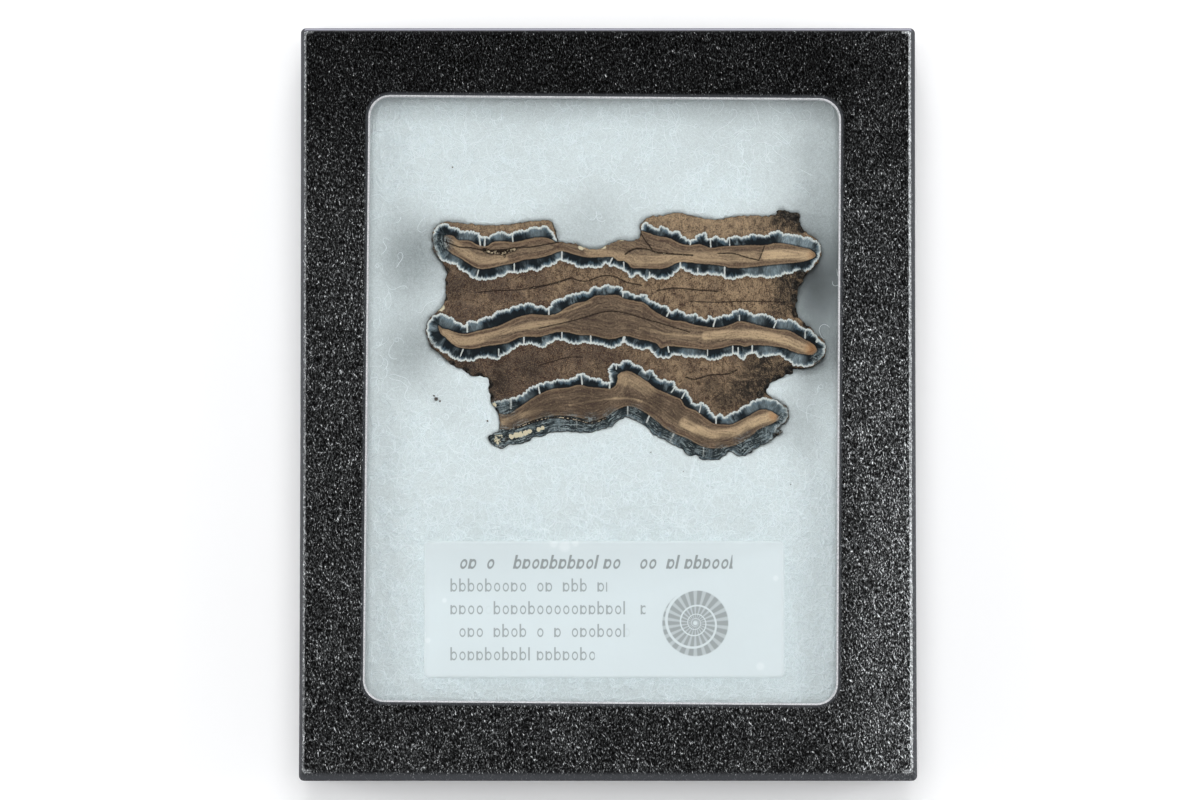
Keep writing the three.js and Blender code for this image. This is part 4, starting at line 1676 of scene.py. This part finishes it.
    def build(self, outline: Array) -> Piece:
        """Builds the pad as one closed form, with a seat under the slice.

        Args:
            outline: the slice's outline, anticlockwise.

        Returns:
            The pad.
        """
        lip = outline + self.seat_clear_mm * outward(outline)
        lip = anticlockwise(even_steps(lip, self.lip_step_mm, closed=True))
        net = self.net(lip)
        sunk = self.sunk(net.places, outline)
        face = np.column_stack([net.places, self.high[2] - sunk])
        in_seat = inside(net.places[net.faces].mean(1), lip)
        faces = net.faces[~in_seat].tolist()
        floor = self.sink_seat(face, net.faces[in_seat].tolist(), faces)
        stack, sinks = [face, floor], [sunk, np.full(len(floor), self.seat_shade_mm)]
        ring, count = net.loop, len(face) + len(floor)
        for margin, height in self.sides(face[net.loop, 2]):
            stack.append(raised(self.ring(margin), height))
            sinks.append(np.zeros(len(ring)))
            ring, count = wall(faces, ring, count)
        faces.append(ring[::-1])
        piece = make_piece("fibre_pad_soft", np.vstack(stack), faces)
        # The shares of painted shade, from how far each vertex sinks
        note(piece, "sunk", ease(np.concatenate(sinks), *self.DIM_MM))
        note(piece, "deep", ease(np.concatenate(sinks), *self.DARK_MM))
        return piece

    def dress(self, outline: Array) -> Piece:
        """Args:
            outline: the slice's outline.

        Returns:
            The pad.
        """
        piece = self.build(outline)
        settle(piece, "white_fibre", Batting().material(), "fibre_padding")
        return piece


@dataclass
class LooseFibres:
    """Curly fibres that stand on the pad under the pane, as thin closed tubes."""

    seed: int
    count: int
    radius_mm: float = 0.07
    segments: int = 17
    step_mm: float = 0.3
    curl: float = 0.27
    curl_kept: float = 0.9
    curl_change: float = 0.16
    slice_clear_mm: float = 0.15
    ceiling_clear_mm: float = 0.06
    end_taper: float = 0.3
    sides: int = 3

    # The lowest and the highest corner of the space that they keep to, in millimetres
    SPREAD: ClassVar[tuple[Place, Place]] = ((-45.0, -56.5), (43.5, 58.0))

    # How high a fibre arches over the pad, in millimetres: the least and the most
    ARCH_MM: ClassVar[tuple[float, float]] = (0.02, 0.3)

    def starts(self, draw: np.random.Generator, pad: FibrePad, outline: Array) -> Array:
        """Where the fibres begin: in drifts, more at the right edge and few in the pad's hollows.

        Args:
            draw: the source of chance.
            pad: the pad that they lie on.
            outline: the slice's outline.

        Returns:
            One row for each fibre.
        """
        places = draw.uniform(*self.SPREAD, (self.count * 3, 2))
        drifts = 0.3 * ease(ripple(places, 18.0, 51), -0.2, 1.0)
        lively = 0.7 + drifts + 0.3 * ease(places[:, 0], 30.0, 42.0)
        lively = lively * (1 - 0.95 * ease(pad.sunk(places, outline), 0.7, 1.3))
        return places[draw.uniform(0, 1.3, len(places)) < lively][:self.count]

    def paths(self, pad: FibrePad, outline: Array) -> Array:
        """Draws the fibres' middles.

        Args:
            pad: the pad that they lie on.
            outline: the slice's outline, which they keep off.

        Returns:
            For each fibre, its points in millimetres.
        """
        draw = np.random.default_rng(self.seed)
        places = [self.starts(draw, pad, outline)]
        count = len(places[0])
        heading = draw.uniform(0, 2 * math.pi, count)
        curl = draw.normal(0, self.curl, count)
        for _ in range(self.segments):
            curl = self.curl_kept * curl + draw.normal(0, self.curl_change, count)
            heading = heading + curl
            ahead = np.column_stack([np.cos(heading), np.sin(heading)])
            places.append(places[-1] + self.step_mm * ahead)
        flat = np.stack(places, axis=1).reshape(-1, 2)
        lift = draw.uniform(*self.ARCH_MM, (count, 1)) * np.sin(np.linspace(0, math.pi, len(places)))
        height = pad.high[2] - pad.sunk(flat, outline) + lift.ravel()
        roof = in_mm(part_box("window_pane"))[0][2] - self.ceiling_clear_mm
        lines = raised(flat, np.minimum(height, roof)).reshape(count, -1, 3)
        nearest = depth_inside(flat, outline).distance.reshape(count, -1).max(1)
        low, high = self.SPREAD
        within = ((lines[:, :, :2] > low) & (lines[:, :, :2] < high)).all((1, 2))
        return lines[(nearest < -self.slice_clear_mm) & within]

    def skin(self, lines: Array) -> Array:
        """The tubes' vertices round the fibres' middles, ring after ring.

        Args:
            lines: each fibre's middle line.

        Returns:
            One row for each vertex.
        """
        run = np.gradient(lines, axis=1)
        run /= np.linalg.norm(run, axis=2)[:, :, None]
        aside = np.cross(run, [0.0, 0.0, 1.0])
        aside /= np.maximum(np.linalg.norm(aside, axis=2), 1e-9)[:, :, None]
        over = np.cross(aside, run)
        taper = np.ones(lines.shape[1])
        taper[[0, -1]] = self.end_taper
        rings = []
        for side in range(self.sides):
            angle = 2 * math.pi * side / self.sides
            spoke = math.cos(angle) * aside + math.sin(angle) * over
            rings.append(lines + self.radius_mm * taper[None, :, None] * spoke)
        return np.stack(rings, axis=2).reshape(-1, 3)

    def build(self, name: str, pad: FibrePad, outline: Array) -> Piece:
        """Builds the fibres as one mesh.

        Args:
            name: the piece's name.
            pad: the pad that they lie on.
            outline: the slice's outline.

        Returns:
            The fibres.
        """
        lines = self.paths(pad, outline)
        points = lines.shape[1]
        faces = []
        for fibre in range(len(lines)):
            base = fibre * points * self.sides
            last = base + (points - 1) * self.sides
            for here in range(base, last, self.sides):
                there = here + self.sides
                for side in range(self.sides):
                    beside = (side + 1) % self.sides
                    faces.append((here + beside, here + side, there + side, there + beside))
            faces.append(tuple(range(base, base + self.sides)))
            faces.append(tuple(range(last, last + self.sides))[::-1])
        return make_piece(name, self.skin(lines), faces)

    def dress(self, name: str, pad: FibrePad, outline: Array, finish: Material) -> Piece:
        """Builds the fibres and gives them their finish.

        Args:
            name: the piece's name.
            pad: the pad that they lie on.
            outline: the slice's outline.
            finish: the fibres' material.

        Returns:
            The fibres.
        """
        piece = self.build(name, pad, outline)
        settle(piece, "white_fibre", finish)
        piece.visible_shadow = False
        return piece


@dataclass
class LooseCrumbs:
    """Small dark crumbs on the pad."""

    # x, y and size of each crumb, in millimetres
    CRUMBS: ClassVar[Rows] = (
        (-32.0, 0.9, 0.75), (-31.3, 0.5, 0.4), (-32.4, 1.5, 0.35), (-29.0, 44.2, 0.3), (-22.4, -3.2, 0.4),
        (8.0, -9.0, 0.3), (-6.7, -7.8, 0.22), (14.0, -12.6, 0.2), (-20.0, -7.6, 0.25), (34.0, -15.0, 0.2),
    )
    seed: int = 61
    rings: int = 7
    turns: int = 14
    roughness: tuple[float, float] = (0.72, 1.12)
    flatness: float = 0.6
    highest_mm: float = 0.2

    def lump(self, draw: np.random.Generator, x: float, y: float, size: float, face: float,
             top: float) -> Array:
        """One crumb's vertices: its rings from the top down, then its peak and its foot.

        Args:
            draw: the source of chance.
            x: where it lies, from the case's middle to the right.
            y: where it lies, from the middle to the far side.
            size: how wide it is, about.
            face: the height of the pad under it.
            top: the highest that it may reach.

        Returns:
            The vertices, in millimetres.
        """
        tilt = math.pi * np.arange(1, self.rings)[:, None] / self.rings
        turn = 2 * math.pi * np.arange(self.turns) / self.turns
        out = size / 2 * draw.uniform(*self.roughness, (self.rings - 1, self.turns))
        height = face + size * 0.25 + self.flatness * out * np.cos(tilt)
        side = np.stack([x + out * np.sin(tilt) * np.cos(turn), y + out * np.sin(tilt) * np.sin(turn),
                         np.minimum(height, top)], axis=2)
        peak = (x, y, min(face + size * 0.52, top + 0.02))
        return np.vstack([side.reshape(-1, 3), peak, (x, y, face - size * 0.05)])

    def build(self, pad: FibrePad, outline: Array) -> Piece:
        """Builds the crumbs as one mesh of lumps.

        Args:
            pad: the pad that they lie on.
            outline: the slice's outline.

        Returns:
            The crumbs.
        """
        draw = np.random.default_rng(self.seed)
        sunk = pad.sunk(np.array(self.CRUMBS)[:, :2], outline)
        lumps, faces = [], []
        for number, (x, y, size) in enumerate(self.CRUMBS):
            top = pad.high[2]
            lumps.append(self.lump(draw, x, y, size, top - sunk[number], top + self.highest_mm))
            first = number * len(lumps[0])
            lowest, peak = first + (self.rings - 2) * self.turns, first + len(lumps[0]) - 2
            for index in range(self.turns):
                following = (index + 1) % self.turns
                faces.append((peak, first + index, first + following))
                for upper in range(first, lowest, self.turns):
                    lower = upper + self.turns
                    faces.append((upper + index, lower + index, lower + following, upper + following))
                faces.append((peak + 1, lowest + following, lowest + index))
        return make_piece("loose_crumbs", np.vstack(lumps), faces)

    def dress(self, pad: FibrePad, outline: Array) -> Piece:
        """Builds the crumbs and gives them their finish.

        Args:
            pad: the pad that they lie on.
            outline: the slice's outline.

        Returns:
            The crumbs.
        """
        piece = self.build(pad, outline)
        settle(piece, "fossil_tooth", CRUMB_STONE.material())
        return piece


class LidZone(Enum):
    """Which finish a stretch of the lid's section takes."""

    PAPER = 0
    CUT_EDGE = 1


@dataclass(frozen=True)
class LidRing:
    """One ring of the lid's skin: its points, how worn smooth it is, and the finish beyond it."""

    places: Array
    smooth: float
    zone: LidZone = LidZone.PAPER


@dataclass
class CaseLid:
    """The lid: grained paper over card, folded round its edges, with the punched window."""

    window_mm: tuple[float, float] = (87.1, 111.8)
    window_radius_mm: float = 3.7
    window_place_mm: tuple[float, float] = (-1.0, 0.7)
    window_turn_deg: float = -0.42
    flat_from_mm: float = 1.0
    sag_mm: float = 0.1
    window_sag_mm: float = 0.04
    rim_height_mm: float = 0.8
    hem_mm: float = 0.3
    corner_mm: float = 1.0
    least_corner_mm: float = 0.15
    bow_mm: float = 0.1
    side_smooth: float = 0.25
    hem_smooth: float = 0.9
    face_rings: int = 22
    side_rings: int = 8
    per_corner: int = 8
    per_side: int = 60
    low: Array = field(init=False)
    high: Array = field(init=False)

    BOARD_MM: ClassVar[float] = 1.6

    # How wide the fold is at the left, right, near and far edge
    FOLD_MM: ClassVar[tuple[float, float, float, float]] = (0.95, 1.15, 2.0, 1.0)

    # The window's edge: how far out and how far down each ring lies, how smooth it is, and its finish
    LIP: ClassVar[Sequence[tuple[float, float, float, LidZone]]] = (
        (0.0, BOARD_MM, 1.0, LidZone.CUT_EDGE), (0.0, 0.35, 1.0, LidZone.CUT_EDGE),
        (0.15, 0.16, 1.0, LidZone.CUT_EDGE), (0.3, 0.12, 1.0, LidZone.PAPER),
        (0.46, 0.13, 0.9, LidZone.PAPER), (0.6, 0.02, 0.7, LidZone.PAPER),
        (0.75, 0.07, 0.4, LidZone.PAPER),
    )

    # The fold's profile: share of its width, drop in millimetres, and how smooth the paper is there
    FOLD: ClassVar[Rows] = (
        (0.06, 0.015, 0.05), (0.13, 0.05, 0.12), (0.2, 0.11, 0.25), (0.29, 0.21, 0.5), (0.4, 0.36, 0.85),
        (0.53, 0.55, 1.0), (0.66, 0.78, 1.0), (0.79, 1.02, 0.96), (0.9, 1.25, 0.84), (0.97, 1.5, 0.78),
        (1.0, 1.8, 0.72),
    )

    # The lower end of the sides: how far in each ring lies, and how far over the rim
    HEM: ClassVar[Rows] = ((0.25, 0.0), (BOARD_MM - 0.25, 0.0), (BOARD_MM, 0.25))

    def __post_init__(self) -> None:
        """Takes the lid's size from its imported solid."""
        self.low, self.high = in_mm(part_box("case_lid"))

    def window_ring(self, margin: float) -> Array:
        """The window's outline, wider by the margin on every side.

        Args:
            margin: how much wider, in millimetres.

        Returns:
            The ring's points.
        """
        size = [side + 2 * margin for side in self.window_mm]
        ring = rounded_ring(size, self.window_radius_mm + margin, self.per_corner, self.per_side)
        turn = math.radians(self.window_turn_deg)
        spin = np.array([[math.cos(turn), math.sin(turn)], [-math.sin(turn), math.cos(turn)]])
        return ring @ spin + np.array(self.window_place_mm)

    def outer_ring(self, share: float = 1.0, margin: float = 0.0) -> Array:
        """The lid's outline, with its long sides drawn in a little at the middle.

        Args:
            share: how far out over the fold it lies, from 0 at the face to 1 at the side.
            margin: how far it is set in from there.

        Returns:
            The ring's points.
        """
        left, right, near, far = (width * (1 - share) + margin for width in self.FOLD_MM)
        size = (self.high - self.low)[:2] - np.array([left + right, near + far])
        radius = max(self.corner_mm * (0.4 + 0.6 * share) - margin, self.least_corner_mm)
        ring = rounded_ring(size, radius, self.per_corner, self.per_side)
        sides = np.abs(ring[:, 0]) > size[0] / 2 - 0.01
        bow = self.bow_mm * (1 - (2 * ring[:, 1] / size[1]) ** 2)
        ring[:, 0] -= np.sign(ring[:, 0]) * bow * sides
        return ring + np.array([left - right, near - far]) / 2

    def face(self) -> list[LidRing]:
        """The rings of the lid's face, from the window out to the fold, with a slight sag.

        Returns:
            The rings in order.
        """
        inner, outer = self.window_ring(self.flat_from_mm), self.outer_ring(0.0)
        rings = []
        for share in np.linspace(0, 1, self.face_rings):
            ring = inner * (1 - share) + outer * share
            sag = self.sag_mm / 2 * (1 + ripple(ring, 17.0, 71)) * 4 * share * (1 - share)
            sag = np.maximum(sag + self.window_sag_mm * (1 - share), 0.0)
            rings.append(LidRing(raised(ring, self.high[2] - sag), 0.1 * float(share == 1)))
        return rings

    def sides(self) -> list[LidRing]:
        """The rings of the lid's sides, from the fold down to the hem.

        Returns:
            The rings in order.
        """
        fold_end = self.high[2] - self.FOLD[-1][1]
        rings = []
        for share in np.linspace(0, 1, self.side_rings + 1)[1:]:
            height = fold_end - share * (fold_end - self.rim_height_mm - self.hem_mm)
            smooth = self.side_smooth if share < 1 else self.hem_smooth
            rings.append(LidRing(raised(self.outer_ring(), height), smooth))
        return rings

    def rings(self) -> list[LidRing]:
        """The lid's whole skin, from the window's lower edge over the face to the inside.

        Returns:
            The rings in order.
        """
        top, rim = self.high[2], self.rim_height_mm
        lip = [LidRing(raised(self.window_ring(margin), top - drop), smooth, zone)
               for margin, drop, smooth, zone in self.LIP]
        fold = [LidRing(raised(self.outer_ring(share), top - drop), smooth)
                for share, drop, smooth in self.FOLD]
        hem = [LidRing(raised(self.outer_ring(margin=margin), rim + rise), 1.0)
               for margin, rise in self.HEM]
        inside_top = LidRing(raised(self.outer_ring(margin=self.BOARD_MM), top - self.BOARD_MM), 1.0)
        return lip + self.face() + fold + self.sides() + hem + [inside_top]

    def build(self) -> Piece:
        """Builds the lid as one closed skin.

        Returns:
            The lid.
        """
        rings = self.rings()
        around = len(rings[0].places)
        vertices = np.vstack([ring.places for ring in rings])
        faces = []
        zones = []
        for index, ring in enumerate(rings):
            here, there = index * around, (index + 1) % len(rings) * around
            for spot in range(around):
                beside = (spot + 1) % around
                faces.append((there + spot, there + beside, here + beside, here + spot))
                zones.append(ring.zone.value)
        piece = make_piece("case_lid_grained", vertices, faces)
        piece.data.polygons.foreach_set("material_index", zones)
        note(piece, "edge", np.repeat([ring.smooth for ring in rings], around))
        return piece

    def dress(self) -> Piece:
        """Builds the lid and gives it its two finishes.

        Returns:
            The lid.
        """
        piece = self.build()
        settle(piece, "grained_card", GrainedPaper().material(), "case_lid")
        piece.data.materials.append(CUT_CARD.material())
        return piece


@dataclass
class SpecimenLabel:
    """The frosted label: rows of plain strokes in place of words, and a coiled shell as its picture."""

    corner_mm: float = 1.1
    shoulder_mm: float = 0.6
    pitch_mm: float = 1.2
    opacity: float = 0.66
    film: Colour = shade(215, 225, 228)
    film_cloudy: Colour = shade(211, 221, 224)
    bubble: Colour = shade(240, 246, 247)
    ink: Colour = shade(122, 128, 128)

    # The rows: left and right end, middle, height and strength, in millimetres from the label's top left
    ROWS: ClassVar[Rows] = (
        (4.8, 57.1, 3.9, 2.5, 0.85), (4.8, 33.9, 8.2, 2.4, 0.7), (4.8, 41.0, 12.4, 2.4, 0.7),
        (4.8, 38.6, 16.6, 2.4, 0.7), (4.8, 31.6, 20.9, 2.4, 0.7),
    )

    # The shell: its middle from the label's top left, and its radius, in millimetres
    SHELL: ClassVar[tuple[float, float, float]] = (50.2, 15.2, 6.1)

    # Air bubbles: place and radius, in millimetres
    BUBBLES: ClassVar[Rows] = (
        (62.2, 23.2, 1.0), (65.1, 6.9, 0.7), (3.8, 11.0, 0.6), (0.7, 18.4, 0.7), (26.0, 1.0, 1.4),
        (24.0, 0.5, 1.0), (28.0, 0.4, 0.9),
    )

    def finish(self, low: Array, high: Array) -> Material:
        """Builds the label's finish.

        Args:
            low: the label's lowest corner, in millimetres.
            high: its highest corner.

        Returns:
            The material.
        """
        sheet = NodeSheet("frosted_label")
        where = sheet.place()
        x, y, _ = where.parts()
        left, top = x - float(low[0]), float(high[1]) - y
        ink = sheet.larger(self.rows(sheet, left, top), self.shell(sheet, left, top))
        film = sheet.blend(where.noise(0.12, 3.0), self.film, self.film_cloudy)
        bubbles = self.bubbles(sheet, left, top) * 0.4
        colour = sheet.over(film, (bubbles, self.bubble), (ink, self.ink))
        return sheet.painted(colour, 0.55, where.noise(0.5, 3.0), 0.05, {"Alpha": self.opacity})

    def rows(self, sheet: NodeSheet, left: Wire, top: Wire) -> Feed:
        """Rows of grey stems and rings that say nothing, with gaps between groups of them.

        Args:
            sheet: the material's nodes.
            left: the distance from the label's left edge.
            top: the distance from its top edge.

        Returns:
            The share of ink.
        """
        ink: Feed = 0.0
        for index, (start, end, middle, height, strength) in enumerate(self.ROWS):
            down = (top - middle) * (2.0 / height)
            slope, weight = (0.16, 1.4) if index == 0 else (0.0, 1.0)
            place = left * (1.5 / height) + down * slope
            across, mark = place.math("FRACT"), place.math("FLOOR")
            chance, other = (sheet.add("TexWhiteNoise", {"W": mark + (offset + 31.0 * index)}, "Value",
                                       noise_dimensions="1D") for offset in (0.25, 0.75))
            away = sheet.distance((across - 0.46) * 2.8, (down - 0.3) * 1.45)
            ring = abs(away - 0.82).step(0.24 * weight, 0.12 * weight) * other.step(0.87, 0.85)
            upper = -0.42 - other.step(0.55, 0.57) * 0.6
            stem = abs(across - 0.15).step(0.12 * weight, 0.07 * weight) * chance.step(0.4, 0.42)
            stem = stem * down.step(upper - 0.05, upper) * down.step(1.05, 0.95)
            ends = left.step(start - 0.05, start + 0.05) * left.step(end + 0.05, end - 0.05)
            written = sheet.larger(ring, stem) * chance.step(0.1, 0.12) * ends
            ink = sheet.larger(ink, written * strength)
        return ink

    def shell(self, sheet: NodeSheet, left: Wire, top: Wire) -> Wire:
        """A coiled shell drawn as a spiral with ribs.

        Args:
            sheet: the material's nodes.
            left: the distance from the label's left edge.
            top: the distance from its top edge.

        Returns:
            The share of ink.
        """
        middle_x, middle_y, size = self.SHELL
        across, down = left - middle_x, top - middle_y
        away = sheet.distance(across, down)
        turn = down.math("ARCTAN2", across).math("DIVIDE", 2 * math.pi)
        turns_out = sheet.larger(away, 0.05).math("LOGARITHM", 1.95)
        coil = (turns_out - turn + 8.0).math("FRACT")
        tube = abs(coil - 0.5).step(0.46, 0.4)
        ribs = abs((turn * 22.0).math("FRACT") - 0.5).step(0.12, 0.3)
        whole = away.step(size + 0.15, size - 0.15) * away.step(0.25, 0.5)
        return whole * tube * (0.4 + ribs * 0.35)

    def bubbles(self, sheet: NodeSheet, left: Wire, top: Wire) -> Feed:
        """Brighter spots where air lies under the film.

        Args:
            sheet: the finish's nodes.
            left: how far each place lies from the label's left edge.
            top: how far it lies from the label's top edge.

        Returns:
            How much air lies under each place, from 0 to 1.
        """
        spots: Feed = 0.0
        for x, y, radius in self.BUBBLES:
            away = sheet.distance(left - x, top - y)
            spots = sheet.larger(spots, away.step(radius, radius * 0.4))
        return spots

    def build(self, low: Array, high: Array) -> Piece:
        """Builds the film with a soft edge.

        Args:
            low: the label's lowest corner, in millimetres.
            high: its highest corner.

        Returns:
            The label.
        """
        size, middle = (high - low)[:2], (low[:2] + high[:2]) / 2
        outline = rounded_ring(size, self.corner_mm, 8, 40) + middle
        inner = rounded_ring(size - 2 * self.shoulder_mm, self.corner_mm - 0.5, 8, 40) + middle
        filling = staggered_grid(low[:2], high[:2], self.pitch_mm)
        filling = filling[depth_inside(filling, inner).distance > 0.5]
        net = spread_net(inner, filling)
        film = high[2] - 0.02 - 0.03 * (1 + ripple(net.places, 9.0, 81)) * 0.5
        stack = [np.column_stack([net.places, film])]
        faces = net.faces.tolist()
        ring, count = net.loop, len(net.places)
        for height in (high[2] - 0.08, low[2] + 0.01):
            stack.append(raised(outline, height))
            ring, count = wall(faces, ring, count)
        faces.append(ring[::-1])
        return make_piece("label_film", np.vstack(stack), faces)

    def dress(self) -> Piece:
        """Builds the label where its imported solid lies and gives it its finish.

        Returns:
            The label.
        """
        low, high = in_mm(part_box("label"))
        piece = self.build(low, high)
        settle(piece, "frosted_label", self.finish(low, high), "label")
        piece.visible_shadow = False
        return piece


@dataclass
class Studio:
    """The tabletop, the lamps and the camera."""

    camera_distance_mm: float = 700.0
    camera_tilt_deg: float = 2.0
    lens_mm: float = 113.5
    sensor_mm: float = 36.0
    aim_mm: tuple[float, float] = (-1.48, 0.55)
    clip_m: tuple[float, float] = (0.01, 20.0)
    floor_half_mm: float = 3000.0

    # Place in metres, size in metres, and power in watts. The one overhead leaves no mirror image
    LAMPS: ClassVar[Sequence[tuple[str, tuple[float, float, float], float, float]]] = (
        ("lamp_left", (-0.6, 0.04, 0.36), 0.3, 1.2), ("lamp_right", (0.6, 0.04, 0.36), 0.3, 1.25),
        ("lamp_far", (0.0, 0.46, 0.56), 0.36, 1.6), ("lamp_near", (0.0, -0.42, 0.62), 0.3, 0.25),
        ("lamp_overhead", (0.0, 0.06, 0.9), 0.6, 2.9),
    )

    # Where the sky begins to fade and has faded, as a height from 0 to 1, and how bright it is there
    SKY: ClassVar[tuple[float, float, float, float]] = (0.3, 0.62, 1.45, 0.08)

    def floor(self) -> Piece:
        """Lays the tabletop under the case.

        Returns:
            The tabletop.
        """
        half = self.floor_half_mm
        corners = np.array([[-half, -half, 0], [half, -half, 0], [half, half, 0], [-half, half, 0]])
        piece = make_piece("tabletop", corners, [(0, 1, 2, 3)])
        piece.data.materials.append(PALE_FLOOR.material())
        piece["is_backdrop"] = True
        return piece

    def lamps(self) -> None:
        """Hangs the soft lamps round the case, each turned towards it."""
        for name, place, size, power in self.LAMPS:
            light = bpy.data.lights.new(name, "AREA")
            light.shape, light.size, light.energy = "DISK", size, power
            lamp = bpy.data.objects.new(name, light)
            lamp.location = place
            lamp.visible_glossy = name != "lamp_overhead"
            lamp.rotation_euler = (-Vector(place)).to_track_quat("-Z", "Y").to_euler()
            bpy.context.collection.objects.link(lamp)

    def sky(self) -> None:
        """Surrounds the scene with soft light near the horizon that is dark higher up."""
        sheet = NodeSheet("soft_box", "worlds")
        feeds = {"Value": sheet.add("TexCoord", out="Generated").parts()[2]}
        feeds.update(zip(("From Min", "From Max", "To Min", "To Max"), self.SKY))
        strength = sheet.add("MapRange", feeds, interpolation_type="SMOOTHSTEP")
        glow = sheet.add("Background", {"Strength": strength})
        bpy.context.scene.world = sheet.finish(glow, "OutputWorld")

    def camera(self) -> None:
        """Sets the camera over the case, square to its face but for a slight tilt."""
        data = bpy.data.cameras.new("camera")
        data.lens, data.sensor_width = self.lens_mm, self.sensor_mm
        data.clip_start, data.clip_end = self.clip_m
        camera = bpy.data.objects.new("camera", data)
        tilt = math.radians(self.camera_tilt_deg)
        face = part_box("case_lid")[1][2]
        aim = Vector((self.aim_mm[0] * MM, self.aim_mm[1] * MM, face))
        reach_back = Vector((0.0, -math.sin(tilt), math.cos(tilt))) * self.camera_distance_mm * MM
        camera.location = aim + reach_back
        camera.rotation_euler = (tilt, 0.0, 0.0)
        bpy.context.collection.objects.link(camera)
        bpy.context.scene.camera = camera

    def set_up(self) -> None:
        """Builds the whole studio."""
        self.floor()
        self.lamps()
        self.sky()
        self.camera()
        bpy.context.scene.view_settings.view_transform = "Standard"


def report(piece: Piece) -> None:
    """Writes one line on a finished piece."""
    LOG.info("%s: %d faces", piece.name, len(piece.data.polygons))


def main() -> None:
    """Builds the display case in order and reports each piece."""
    logging.basicConfig(level=logging.INFO, format="%(message)s")
    Studio().set_up()
    redress("case_tray", TRAY_PAPER.material())
    redress("window_pane", ClearPane().material())
    report(CaseLid().dress())
    molar = MolarSlice()
    report(molar.dress())
    pad = FibrePad()
    report(pad.dress(molar.outline))
    strand = STRAY_FIBRE.material()
    for number in range(1, FIBRE_LAYERS + 1):
        fibres = LooseFibres(seed=FIBRE_SEED + number, count=FIBRES_DRAWN)
        report(fibres.dress(f"loose_fibres_{number}", pad, molar.outline, strand))
    report(LooseCrumbs().dress(pad, molar.outline))
    report(SpecimenLabel().dress())
    sizes = {"cad": CAD_BOUNDS, "visual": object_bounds()}
    {key: [list(map(float, corner)) for corner in box] for key, box in sizes.items()}


if __name__ == "__main__":
    main()
